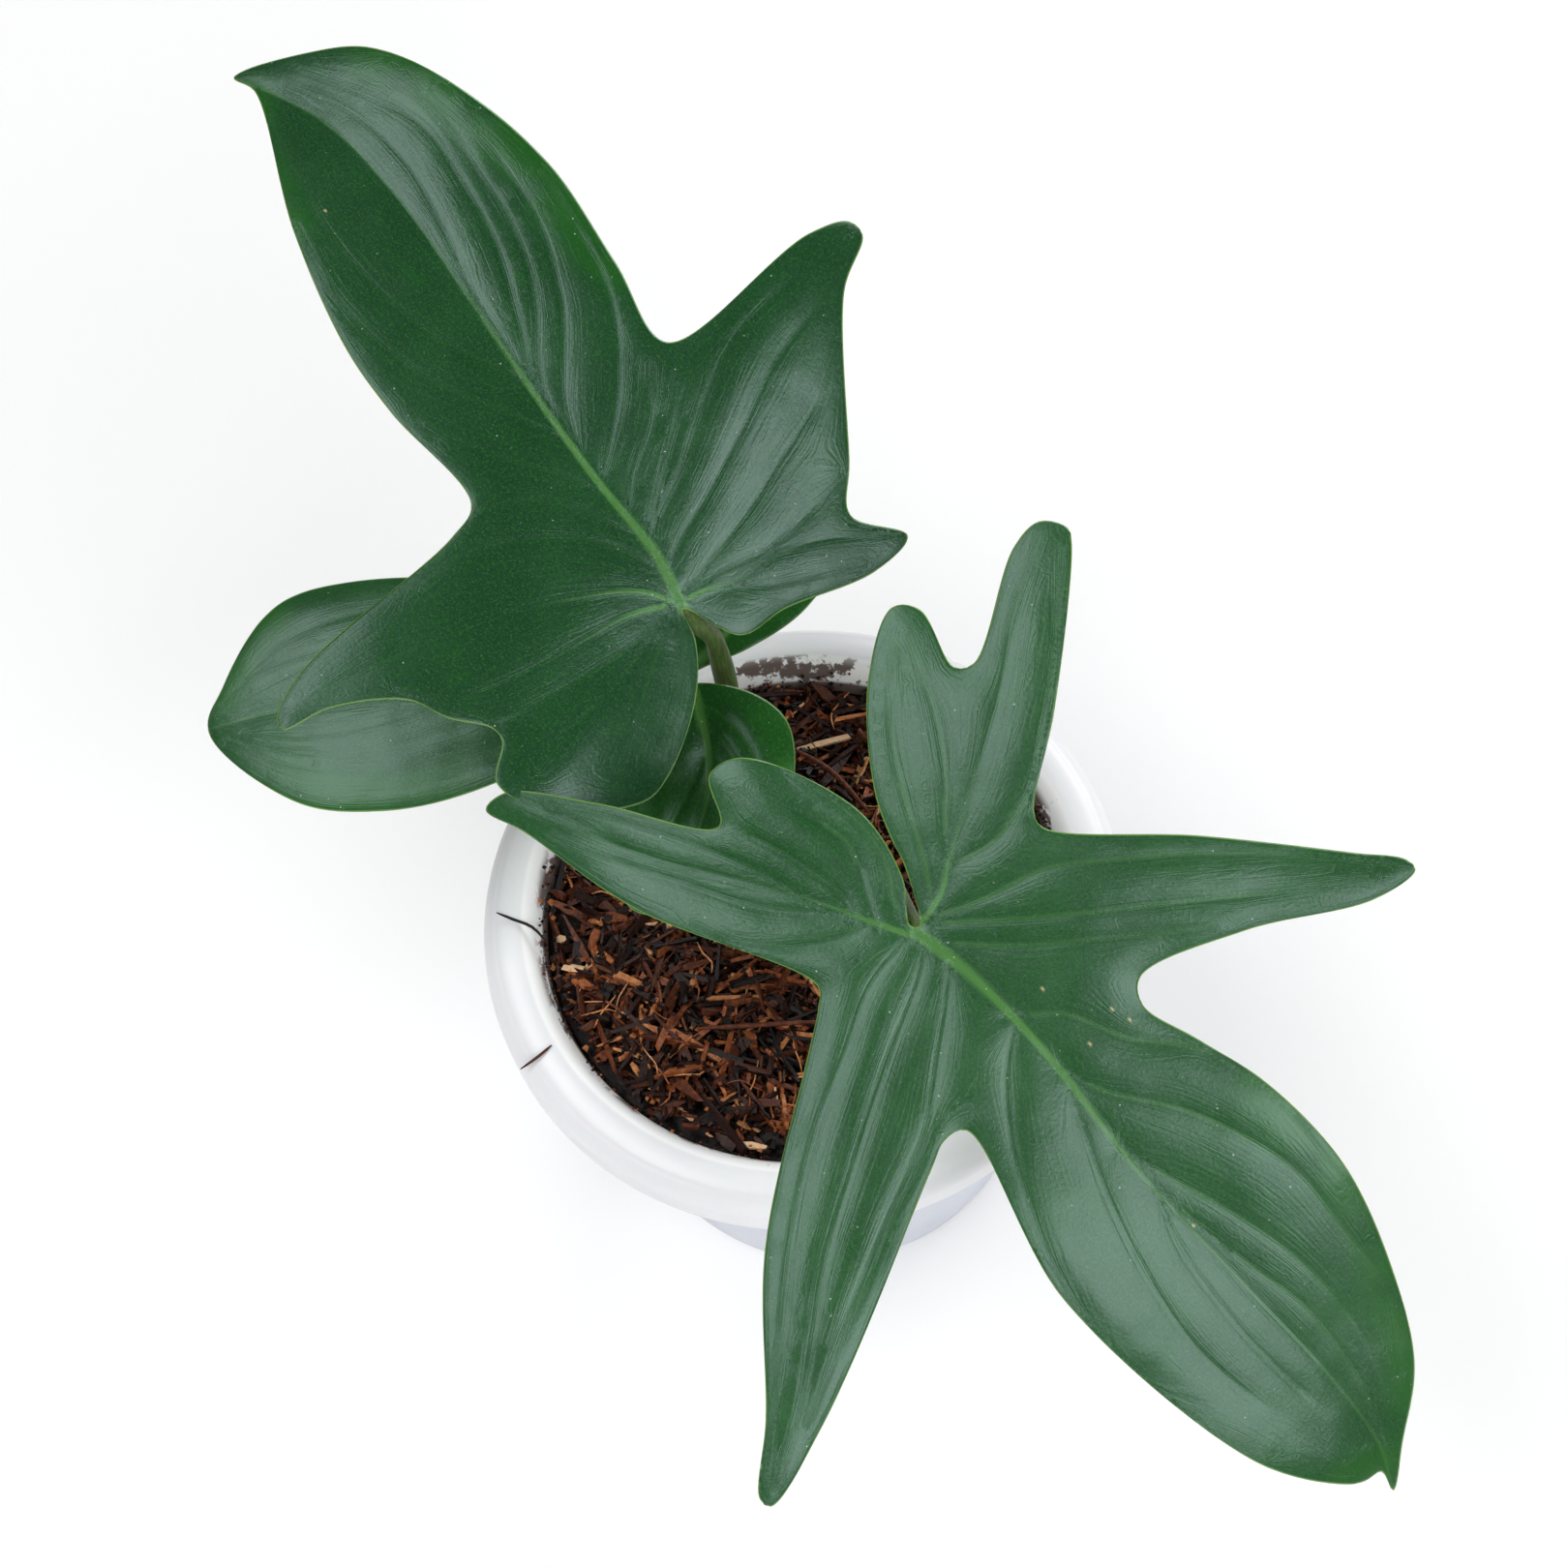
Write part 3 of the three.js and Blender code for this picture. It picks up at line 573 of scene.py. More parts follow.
def blade_places(leaf, outline, veins):
    """Flat places for the mesh: rows by the margin and the veins, specks, then a lattice."""
    spacing = Spacing()
    spacing.add_all(outline)
    step = np.roll(outline, -1, axis=0) - np.roll(outline, 1, axis=0)
    inward = left_of(step)
    (x, y), (next_x, next_y) = outline.T, np.roll(outline, -1, axis=0).T
    inward *= np.sign(np.sum(x * next_y - y * next_x))
    margin = tree_of(outline)
    rows = [outline + distance * inward for distance in MARGIN_ROWS]
    for distance, row in zip(MARGIN_ROWS, rows):
        fits = inside(outline, row) & (distances_to(margin, row)[0] > 0.85 * distance)
        spacing.add_all(row[fits], 0.3)
    for kind, places, _ in veins:
        step = np.gradient(places, axis=0)
        aside = left_of(step)
        offsets = [0] + [sign * row for row in VEIN_KINDS[kind]["rows"] for sign in (1, -1)]
        for offset in offsets:
            row = places + offset * aside
            fits = inside(outline, row) & (distances_to(margin, row)[0] > 0.3)
            spacing.add_all(row[fits], 0.26)
    for x, y in leaf["specks"]:
        for radius in SPECK_RINGS:
            for k in range(SPECK_SIDES if radius else 1):
                dx, dy = polar(radius, 2 * math.pi * k / SPECK_SIDES)
                spacing.add((x + dx, y + dy), 0.12)
    low, high = outline.min(0), outline.max(0)
    row_step = LATTICE_STEP * math.sqrt(3) / 2
    lattice = np.array([
        (x + (j % 2) * LATTICE_STEP / 2, low[1] + j * row_step)
        for j in range(math.ceil((high[1] - low[1]) / row_step))
        for x in np.arange(low[0], high[0], LATTICE_STEP)
    ])
    lattice = lattice[inside(outline, lattice)]
    spacing.add_all(lattice[distances_to(margin, lattice)[0] > 0.6], 0.62 * LATTICE_STEP)
    return spacing.kept


def blade_triangles(outline, flat):
    """The flat places joined into triangles that fill the outline."""
    count = len(outline)
    edges = [(i, (i + 1) % count) for i in range(count)]
    vectors = [Vector(place) for place in flat]
    made = geometry.delaunay_2d_cdt(vectors, edges, [], 0, 1e-6)
    places = np.array([tuple(v) for v in made[0]])
    triangles = np.array(made[2])
    triangles = triangles[inside(outline, places[triangles].mean(1))]
    return places, triangles


def leaf_surface(leaf):
    """The blade's mesh: its places in the shared frame, its faces and its attributes."""
    base, along, across, up, length = blade_frame(leaf)
    outline = smooth_curve(leaf["outline"], OUTLINE_STEP, closed=True)
    veins = leaf_veins(leaf)
    places, triangles = blade_triangles(outline, blade_places(leaf, outline, veins))
    x, y = places[:, 0], places[:, 1]

    samples = []
    for kind, row, share in veins:
        fade = 0 if kind == "midrib" else VEIN_FADE
        samples += [(px, py, fade * s) for (px, py), s in zip(row, smooth_step(0.72, 1, share))]
    vein_distance = distances_to(tree_of(samples), places)[0]
    edge = smooth_curve(leaf["outline"], 0.3, closed=True)
    edge_distance = distances_to(tree_of(edge), places)[0]

    right_of_rib = y < midrib_at(leaf, x)
    ribbed, colour, raised = np.zeros((3, len(places)))
    apart = [edge_distance]
    for kind, row, share in veins:
        distance, at = distances_to(tree_of(row), places)
        apart.append(distance)
        first, last = VEIN_KINDS[kind]["width"]
        width = last + (first - last) * (1 - share[at]) ** 2.5
        bead = np.exp(-((distance / (1.4 * width)) ** 2))
        below = VEIN_KINDS[kind]["below"] * (1 - 0.85 * share[at])
        ribbed = np.maximum(ribbed, below * bead)
        if kind != "side":
            low, high, fade = (0.2, 0.65, 0.65) if kind == "midrib" else (0.02, 0.4, 0.95)
            strength = 1 - fade * smooth_step(low, high, share[at])
            strength = strength * (1 - smooth_step(0.7 * width, 1.3 * width, distance))
            colour = np.maximum(colour, leaf["rib"] * strength)
            raised = np.maximum(raised, 0.3 * width * bead)
        else:
            strength = (1 - 0.8 * share[at]) * (1 - smooth_step(0.02, 0.2, distance))
            colour = np.maximum(colour, np.where(right_of_rib, *leaf["line"]) * strength)
    nearest = np.sort(apart[1:], axis=0)[:2] + 0.01
    apart = np.sort(apart, axis=0)
    between = apart[0] / np.maximum(apart[0] + apart[1], 0.01)

    groove = 1 - np.exp(-vein_distance / GROOVE_WIDTH)
    near = vein_distance + 0.01
    pillow = near * nearest[1] / (near + nearest[1])
    pleat = np.where(right_of_rib, *leaf["pleat"])
    pleats = leaf["groove"] * groove + PLEAT_HEIGHT * (1 - np.exp(-pleat * pillow / PLEAT_HEIGHT))
    pleats *= smooth_step(0, 5, edge_distance) * 0.7 + 0.3
    rough = np.array([
        noise.noise((px / 14, py / 14, length)) + 0.25 * noise.noise((px / 4.3, py / 4.3, 7.0))
        for px, py in places
    ])
    middle = blade_height(leaf, length, x, y) + pleats - 0.3 + 0.2 * rough
    middle += living_bend(leaf, length, x, y)
    middle -= 0.12 * np.exp(-edge_distance / 0.8)
    thick = BLADE_THICKNESS * (0.35 + 0.65 * (1 - np.exp(-edge_distance / 0.7)))
    top = middle + raised + thick / 2
    bottom = middle - thick / 2 - ribbed

    def placed(height):
        return base + np.outer(x, along) + np.outer(y, across) + np.outer(height, up)

    count = len(places)
    boundary = {}
    for a, b, c in triangles:
        for pair in ((a, b), (b, c), (c, a)):
            if (pair[1], pair[0]) in boundary:
                del boundary[(pair[1], pair[0])]
            else:
                boundary[pair] = True
    faces = [(a, b, c) for a, b, c in triangles]
    faces += [(c + count, b + count, a + count) for a, b, c in triangles]
    faces += [(a, a + count, b + count, b) for a, b in boundary]

    fresh = np.zeros(count)
    for width, row in leaf["fresh"]:
        distance = distances_to(tree_of(smooth_curve(row, 1.0)), places)[0]
        fresh = np.maximum(fresh, 1 - smooth_step(0.2 * width, width, distance))
    specks = np.zeros(count)
    for sx, sy in leaf["specks"]:
        specks = np.maximum(specks, 1 - smooth_step(0.18, 0.42, np.hypot(x - sx, 1.4 * (y - sy))))
    shared = dict(vein=colour, nerve=between, fresh=fresh, margin=edge_distance, leaf_x=x, leaf_y=y)
    attributes = {key: np.tile(values, 2) for key, values in shared.items()}
    attributes["speck"] = np.concatenate([specks, 0 * specks])
    attributes["underside"] = np.repeat([0.0, 1.0], count)
    return np.concatenate([placed(top), placed(bottom)]), faces, attributes


# Materials


class Nodes:
    """Short calls for building one material's nodes."""

    def __init__(self, name):
        self.material = bpy.data.materials.new(name)
        self.material.use_nodes = True
        self.tree = self.material.node_tree
        self.shader = self.tree.nodes["Principled BSDF"]

    def add(self, kind, inputs=None, **settings):
        node = self.tree.nodes.new(kind)
        for key, value in settings.items():
            setattr(node, key, value)
        for key, value in (inputs or {}).items():
            self.feed(node.inputs[key], value)
        return node

    def feed(self, socket, value):
        if isinstance(value, bpy.types.NodeSocket):
            self.tree.links.new(value, socket)
        else:
            socket.default_value = value

    def attribute(self, name):
        return self.add("ShaderNodeAttribute", attribute_name=name).outputs["Fac"]

    def vector(self, x, y, z):
        return self.add("ShaderNodeCombineXYZ", {0: x, 1: y, 2: z}).outputs[0]

    def math(self, operation, a, b=0.0, clamp=False):
        node = self.add("ShaderNodeMath", {0: a, 1: b}, operation=operation, use_clamp=clamp)
        return node.outputs[0]

    def times(self, a, b):
        return self.math("MULTIPLY", a, b)

    def ramp(self, value, low, high):
        """From 0 at low to 1 at high, and flat beyond both. Low may be the greater one."""
        limits = {"Value": value, "From Min": low, "From Max": high}
        node = self.add("ShaderNodeMapRange", limits, interpolation_type="SMOOTHSTEP")
        return node.outputs["Result"]

    def range(self, value, low, high):
        """A value from 0 to 1 stretched to low and high."""
        limits = {"Value": value, "To Min": low, "To Max": high}
        return self.add("ShaderNodeMapRange", limits).outputs["Result"]

    def mix(self, share, a, b):
        return self.add("ShaderNodeMix", {0: share, 6: a, 7: b}, data_type="RGBA").outputs[2]

    def noise(self, scale, vector=None, detail=2.0, roughness=0.5):
        settings = {"Scale": scale, "Detail": detail, "Roughness": roughness}
        if vector is not None:
            settings["Vector"] = vector
        return self.add("ShaderNodeTexNoise", settings).outputs["Fac"]

    def steps(self, value, stops):
        """A colour ramp: stops are (place, colour)."""
        node = self.add("ShaderNodeValToRGB")
        ramp = node.color_ramp
        while len(ramp.elements) < len(stops):
            ramp.elements.new(0.5)
        for element, (place, colour) in zip(ramp.elements, stops):
            element.position = place
            element.color = (*colour, 1)
        self.feed(node.inputs["Fac"], value)
        return node.outputs["Color"]

    def bump(self, height, strength, distance, normal=None):
        settings = {"Strength": strength, "Distance": distance * MM, "Height": height}
        if normal is not None:
            settings["Normal"] = normal
        return self.add("ShaderNodeBump", settings).outputs["Normal"]

    def finish(self, colour, roughness, normal=None, **values):
        self.feed(self.shader.inputs["Base Color"], colour)
        self.feed(self.shader.inputs["Roughness"], roughness)
        if normal is not None:
            self.feed(self.shader.inputs["Normal"], normal)
        for key, value in values.items():
            self.shader.inputs[key.replace("_", " ")].default_value = value
        return self.material


def rgba(colour):
    return (*colour, 1)


def leaf_material(name, deep, middle, fresh, under, roughness, gloss):
    n = Nodes(name)
    x, y = n.attribute("leaf_x"), n.attribute("leaf_y")
    place = n.vector(x, y, 0.0)
    nerve = n.attribute("nerve")
    reach = n.math("SQRT", n.math("ADD", n.times(x, x), n.times(y, y)))
    strands = n.vector(n.times(nerve, 26.0), n.times(reach, 0.09), n.times(y, 0.05))
    streak = n.noise(1.0, strands, 1.5, 0.5)
    grain = n.noise(1.6, place, 2, 0.5)
    patches = n.ramp(n.noise(0.06, place, 3), 0.35, 0.7)
    colour = n.mix(patches, rgba(deep), rgba(middle))
    colour = n.mix(n.times(n.ramp(streak, 0.55, 0.75), 0.22), colour, rgba(fresh))
    colour = n.mix(n.ramp(grain, 0.5, 0.68), colour, n.mix(0.5, colour, rgba(fresh)))
    # Painted sheen: pale flecks over the grain stand for its glints of light.
    sheen_flecks = n.times(n.ramp(n.noise(3.2, place, 2, 0.6), 0.52, 0.72), 0.34)
    colour = n.mix(sheen_flecks, colour, PAINTED_SHEEN_FLECKS)
    shade = n.times(n.ramp(n.noise(2.1, n.vector(y, x, 3.0), 2, 0.6), 0.5, 0.36), 0.4)
    colour = n.mix(shade, colour, rgba([0.55 * value for value in deep]))
    margin = n.attribute("margin")
    band = n.times(n.attribute("fresh"), n.ramp(n.noise(0.12, place, 2), 0.2, 0.5))
    colour = n.mix(n.times(band, 0.55), colour, rgba(fresh))
    vein = n.attribute("vein")
    colour = n.mix(vein, colour, VEIN_GREEN)
    colour = n.mix(n.times(n.ramp(margin, 0.3, 0.1), 0.8), colour, EDGE_GREEN)
    dots = n.add("ShaderNodeTexVoronoi", {"Scale": 0.42, "Vector": place})
    chosen = n.add("ShaderNodeSeparateColor", {"Color": dots.outputs["Color"]}).outputs[0]
    dust = n.times(n.ramp(dots.outputs["Distance"], 0.07, 0.045), n.ramp(chosen, 0.5, 0.9))
    colour = n.mix(n.times(dust, 0.55), colour, DUST)
    colour = n.mix(n.attribute("speck"), colour, SPECK_BROWN)
    pale = n.mix(n.times(vein, 0.7), rgba(under), VEIN_BELOW)
    colour = n.mix(n.attribute("underside"), colour, pale)
    normal = n.bump(grain, 0.5, 0.05)
    normal = n.bump(streak, 0.7, 0.065, normal)
    rough = n.range(n.noise(0.25, place, 3), roughness - 0.02, roughness + 0.03)
    tint = (0.8, 1.0, 1.0, 1)
    return n.finish(colour, rough, normal, Specular_IOR_Level=gloss, Specular_Tint=tint)


def petiole_material(name, green, flush):
    n = Nodes(name)
    along = n.attribute("along")
    coordinates = n.add("ShaderNodeTexCoord").outputs["Object"]
    streaks = n.add("ShaderNodeMapping", {"Scale": (2600, 2600, 160), "Vector": coordinates})
    fine = n.noise(1.0, streaks.outputs[0], 3)
    colour = n.mix(n.ramp(fine, 0.35, 0.7), rgba(green), (0.075, 0.13, 0.026, 1))
    blotch = n.ramp(n.noise(330, coordinates, 3), 0.5, 0.68)
    top = n.range(n.ramp(along, 0.75, 1.0), 0.2, 0.8)
    colour = n.mix(n.times(blotch, top), colour, rgba(flush))
    normal = n.bump(fine, 0.3, 0.1)
    return n.finish(colour, 0.5, normal, Specular_IOR_Level=0.3)


def mix_material(name):
    """Bark and husk: the tone of each splinter is its own, streaked along its length."""
    n = Nodes(name)
    coordinates = n.add("ShaderNodeTexCoord").outputs["Object"]
    spread = n.times(n.math("SUBTRACT", n.noise(900, coordinates, 4, 0.7), 0.5), 0.5)
    tone = n.math("ADD", n.attribute("tone"), spread, clamp=True)
    colour = n.steps(tone, [
        (0.0, (0.0025, 0.002, 0.002)),
        (0.35, (0.02, 0.0055, 0.003)),
        (0.6, (0.085, 0.021, 0.008)),
        (0.78, (0.31, 0.085, 0.026)),
        (0.92, (0.62, 0.27, 0.105)),
        (1.0, (0.7, 0.46, 0.28)),
    ])
    normal = n.bump(n.noise(1500, coordinates, 4, 0.7), 0.6, 0.3)
    return n.finish(colour, 0.42, normal, Specular_IOR_Level=0.28)


def pot_material(name):
    n = Nodes(name)
    coordinates = n.add("ShaderNodeTexCoord").outputs["Object"]
    split = n.add("ShaderNodeSeparateXYZ", {"Vector": coordinates})
    height = split.outputs["Z"]
    tint = n.mix(n.noise(40, coordinates, 2), (0.84, 0.845, 0.87, 1), (0.81, 0.815, 0.85, 1))
    # Painted shade: below the rim the wall turns a darker grey-blue, though the pot is one white
    # plastic.
    tint = n.mix(n.ramp(height, *WALL_PAINTED_SHADE), tint, (0.6, 0.625, 0.7, 1))
    within = n.attribute("within")
    # Painted light: the inside of the pot is made whiter than the rim, to lift the shade it lies in.
    tint = n.mix(within, tint, (0.95, 0.95, 0.97, 1))
    smear = n.ramp(n.noise(105, coordinates, 5, 0.7), 0.5, 0.55)
    far = n.ramp(split.outputs["Y"], *SMEAR_FAR_SIDE)
    low = n.ramp(n.math("SUBTRACT", height, n.times(far, SMEAR_RISE)), *SMEAR_HEIGHT)
    edge = n.ramp(height, *MIX_LINE)
    dirt = n.times(within, n.math("MAXIMUM", n.times(smear, low), edge))
    dust = n.times(n.ramp(n.noise(600, coordinates, 3, 0.7), 0.66, 0.74), 0.35)
    colour = n.mix(n.times(dirt, 0.92), tint, SMEAR_BROWN)
    colour = n.mix(n.times(dust, within), colour, (0.12, 0.06, 0.04, 1))
    plain = n.range(n.noise(70, coordinates, 3), 0.26, 0.4)
    rough = n.math("ADD", plain, n.times(dirt, 0.5))
    normal = n.bump(n.noise(260, coordinates, 2), 0.12, 0.2)
    return n.finish(colour, rough, normal, Specular_IOR_Level=0.5, Subsurface_Weight=0.12,
                    Subsurface_Scale=0.004)


# Pot


def inner_radius(z):
    low = POT_BASE_RADIUS - POT_WALL
    return low + (RIM_INNER_RADIUS - low) * (z - POT_FLOOR) / (MIX_TOP - POT_FLOOR)


def bezier(points, steps):
    """Places on the curve with the given control points, both ends included."""
    t = np.linspace(0, 1, steps + 1)[:, None]
    points = [np.array(p, float) for p in points]
    while len(points) > 1:
        points = [a * (1 - t) + b * t for a, b in zip(points, points[1:])]
    return points[0]


def pot_profile():
    """Radius and height from the foot, up the outside, over the rim and down the inside."""
    underside = RIM_LOWER_EDGE + RIM_LIP_HEIGHT
    lip = RIM_RADIUS - RIM_LIP_WIDTH
    foot = bezier([(POT_BASE_RADIUS - POT_FOOT_ROUND, 0), (POT_BASE_RADIUS, 0),
                   (POT_BASE_RADIUS, POT_FOOT_ROUND)], 4)
    heights = np.linspace(POT_FOOT_ROUND, underside - 0.7, 14)[1:]
    share = (heights - POT_FOOT_ROUND) / (underside - POT_FOOT_ROUND)
    wall = np.stack([POT_BASE_RADIUS + (POT_WALL_TOP_RADIUS - POT_BASE_RADIUS) * share, heights], 1)
    corner = bezier([wall[-1], (POT_WALL_TOP_RADIUS, underside),
                     (POT_WALL_TOP_RADIUS + 0.8, underside)], 3)[1:]
    under = [(lip - 0.7, underside), (lip - 0.25, underside - 0.1), (lip, underside - 0.5),
             (lip, RIM_LOWER_EDGE + 0.4), (lip + 0.15, RIM_LOWER_EDGE + 0.05),
             (lip + 0.5, RIM_LOWER_EDGE), (RIM_RADIUS - 0.6, RIM_LOWER_EDGE),
             (RIM_RADIUS - 0.15, RIM_LOWER_EDGE + 0.2), (RIM_RADIUS, RIM_LOWER_EDGE + 0.7),
             (RIM_RADIUS, POT_HEIGHT - RIM_ROUND_HEIGHT - 2)]
    outside = bezier([(RIM_RADIUS, POT_HEIGHT - RIM_ROUND_HEIGHT),
                      (RIM_RADIUS, POT_HEIGHT - RIM_ROUND_PULL),
                      (RIM_RADIUS - RIM_ROUND_PULL, POT_HEIGHT), (RIM_CREST_RADIUS, POT_HEIGHT)], 26)
    seam = np.exp(-(((outside[:, 0] - RIM_SEAM_RADIUS) / 0.22) ** 2))
    outside[:, 1] -= RIM_SEAM_DEPTH * seam
    within = bezier([(RIM_CREST_RADIUS, POT_HEIGHT), (RIM_INNER_RADIUS + 1.2, POT_HEIGHT - 0.5),
                     (RIM_INNER_RADIUS, MIX_TOP)], 10)[1:]
    deep = [(inner_radius(z), z) for z in (60, 30, POT_FLOOR)]
    return np.concatenate([foot, wall, corner, under, outside, within, deep])


def pot_body(material):
    profile = pot_profile()
    angles = 2 * math.pi * np.arange(POT_SIDES) / POT_SIDES
    radius = np.repeat(profile[:, :1], POT_SIDES, axis=1)
    height = np.repeat(profile[:, 1:], POT_SIDES, axis=1)
    on_wall = (height > 0.7) & (height < RIM_LOWER_EDGE + 1) & (radius > inner_radius(height) + 1)
    fade = smooth_step(0.7, 5, height) * smooth_step(RIM_LOWER_EDGE + 1, RIM_LOWER_EDGE - 6, height)
    flute = 0.5 + 0.5 * np.cos(FLUTE_COUNT * angles)[None, :]
    radius = radius - on_wall * FLUTE_DEPTH * flute * fade
    crest = int(np.argmax(profile[:, 1]))
    within = np.repeat(np.arange(len(profile)) > crest + 1, POT_SIDES).astype(float).tolist()
    ring = np.stack([radius * np.cos(angles), radius * np.sin(angles), height], 2)
    places = ring.reshape(-1, 3).tolist()
    faces = ring_faces(len(profile), POT_SIDES)
    holes = []
    for i in range(DRAIN_HOLE_COUNT):
        middle = 2 * math.pi * (i + 0.5) / DRAIN_HOLE_COUNT
        turn = 2 * math.pi * np.arange(HOLE_SIDES) / HOLE_SIDES
        holes.append(np.stack([
            DRAIN_CIRCLE_RADIUS * math.cos(middle) + DRAIN_HOLE_RADIUS * np.cos(turn),
            DRAIN_CIRCLE_RADIUS * math.sin(middle) + DRAIN_HOLE_RADIUS * np.sin(turn),
        ], 1))
    top_start = (len(profile) - 1) * POT_SIDES
    starts = [POT_SIDES + HOLE_SIDES * h for h in range(DRAIN_HOLE_COUNT)]
    corner_of = []
    for first, level, up in ((0, 0.0, False), (top_start, POT_FLOOR, True)):
        circle = np.array([places[first + j][:2] for j in range(POT_SIDES)])
        flat = np.concatenate([circle, *holes])
        edges = [(j, (j + 1) % POT_SIDES) for j in range(POT_SIDES)]
        for start in starts:
            edges += [(start + j, start + (j + 1) % HOLE_SIDES) for j in range(HOLE_SIDES)]
        made = geometry.delaunay_2d_cdt([Vector(p) for p in flat], edges, [], 0, 1e-6)
        index = []
        for k, sources in enumerate(made[3]):
            if sources and sources[0] < POT_SIDES:
                index.append(first + sources[0])
            else:
                index.append(len(places))
                places.append((made[0][k].x, made[0][k].y, level))
        centres = np.array([np.mean([tuple(made[0][v]) for v in f], axis=0) for f in made[2]])
        solid = np.ones(len(centres), bool)
        for hole in holes:
            solid &= ~inside(hole, centres)
        for face, keep in zip(made[2], solid):
            if keep:
                corners = [index[v] for v in face]
                faces.append(corners if up else corners[::-1])
        corner_of.append({sources[0]: index[k] for k, sources in enumerate(made[3]) if sources})
    lower, upper = corner_of
    for start in starts:
        for j in range(HOLE_SIDES):
            a, b = start + j, start + (j + 1) % HOLE_SIDES
            faces.append((lower[a], lower[b], upper[b], upper[a]))
    within += [0.0] * (len(places) - len(within))
    return make_piece("pot_body", places, faces, material, within=within)


# Potting mix


def mix_height(x, y):
    mounds = np.sin(x / 7.3 + 0.6) * np.cos(y / 8.1) + 0.5 * np.sin((x + 2 * y) / 5.2)
    return MIX_TOP + MIX_MOUND * mounds


def mix_bed(material):
    """The dark bed under the splinters, closed below."""
    places, tones = [], []
    top_radius = inner_radius(MIX_TOP) - GAP
    for i in range(MIX_RINGS + 1):
        share = i / MIX_RINGS
        for j in range(MIX_SIDES):
            angle = 2 * math.pi * j / MIX_SIDES
            x, y = polar(top_radius * share, angle)
            lumps = noise.fractal((x / 3.1, y / 3.1, 0.5), 0.8, 2.1, 4)
            places.append((x, y, mix_height(x, y) - MIX_BED_DEPTH + 0.9 * lumps))
            tones.append(0.08 + 0.15 * lumps)
    bottom_radius = inner_radius(POT_FLOOR + GAP) - GAP
    for radius in (bottom_radius, 0.5):
        for j in range(MIX_SIDES):
            places.append((*polar(radius, 2 * math.pi * j / MIX_SIDES), POT_FLOOR + GAP))
            tones.append(0.2)
    last = (MIX_RINGS + 2) * MIX_SIDES
    faces = ring_faces(MIX_RINGS + 3, MIX_SIDES, reverse=True)
    faces.append(list(range(last, last + MIX_SIDES)))
    return make_piece("mix_bed", places, faces, material, tone=tones)


def splinter(random_of, length, width, thickness):
    """Corners and faces of one splinter of bark: three uneven rings along its length."""
    bend = random_of.uniform(-0.12, 0.12) * length
    places = []
    for t, taper in ((-0.5, random_of.uniform(0.35, 0.9)), (random_of.uniform(-0.15, 0.15), 1.0),
                     (0.5, random_of.uniform(0.2, 0.8))):
        lift = bend * (0.25 - t * t)
        for side, level in ((-1, -1), (1, -1), (1, 1), (-1, 1)):
            places.append((
                t * length + random_of.uniform(-0.06, 0.06) * length,
                side * 0.5 * width * taper * random_of.uniform(0.8, 1.1),
                level * 0.5 * thickness * random_of.uniform(0.6, 1.1) + lift,
            ))
    return np.array(places), [(3, 2, 1, 0), (8, 9, 10, 11), *ring_faces(3, 4)]


def standing_feet():
    """Centre and radius of everything that stands in the mix."""
    feet = [(STEM_CENTRE, STEM_RADIUS)]
    for leaf in LEAVES.values():
        if leaf["petiole"][0][2] < MIX_TOP:
            feet.append((leaf["petiole"][0][:2], leaf["radii"][0]))
    return feet


def mix_splinters(material):
    random_of = random.Random(MIX_SEED)
    feet = standing_feet()
    heap = Heap()
    laid = 0
    while laid < CHIP_COUNT:
        short, long = random_of.triangular(1.6, 7, 3.2), random_of.triangular(4, 15, 8)
        length = random_of.choice((short, long))
        width = random_of.triangular(0.35, 2.4, 0.7)
        thickness = random_of.uniform(0.35, 1.2)
        radius = (inner_radius(MIX_TOP) - 0.4) * math.sqrt(random_of.random())
        x, y = polar(radius, random_of.uniform(0, 2 * math.pi))
        if any(math.hypot(x - at[0], y - at[1]) < r + 0.8 for at, r in feet):
            continue
        turn = Matrix.Rotation(random_of.uniform(0, math.pi), 3, "Z")
        turn @= Matrix.Rotation(random_of.gauss(0, 1.5 / length + 0.08), 3, "Y")
        turn @= Matrix.Rotation(random_of.gauss(0, 0.8), 3, "X")
        shape, shape_faces = splinter(random_of, length, width, thickness)
        lift = random_of.triangular(-1.9, 1.7, 0.1)
        shape = shape @ np.array(turn.transposed()) + (x, y, float(mix_height(x, y)) + lift)
        reach = np.hypot(shape[:, 0], shape[:, 1]).max()
        if reach > inner_radius(MIX_TOP) - 0.2:
            continue
        tone = random_of.choices(*CHIP_TONES)[0] + random_of.uniform(-0.07, 0.07)
        heap.add(shape.tolist(), shape_faces, tone)
        laid += 1
    return heap.piece("mix_splinters", material)


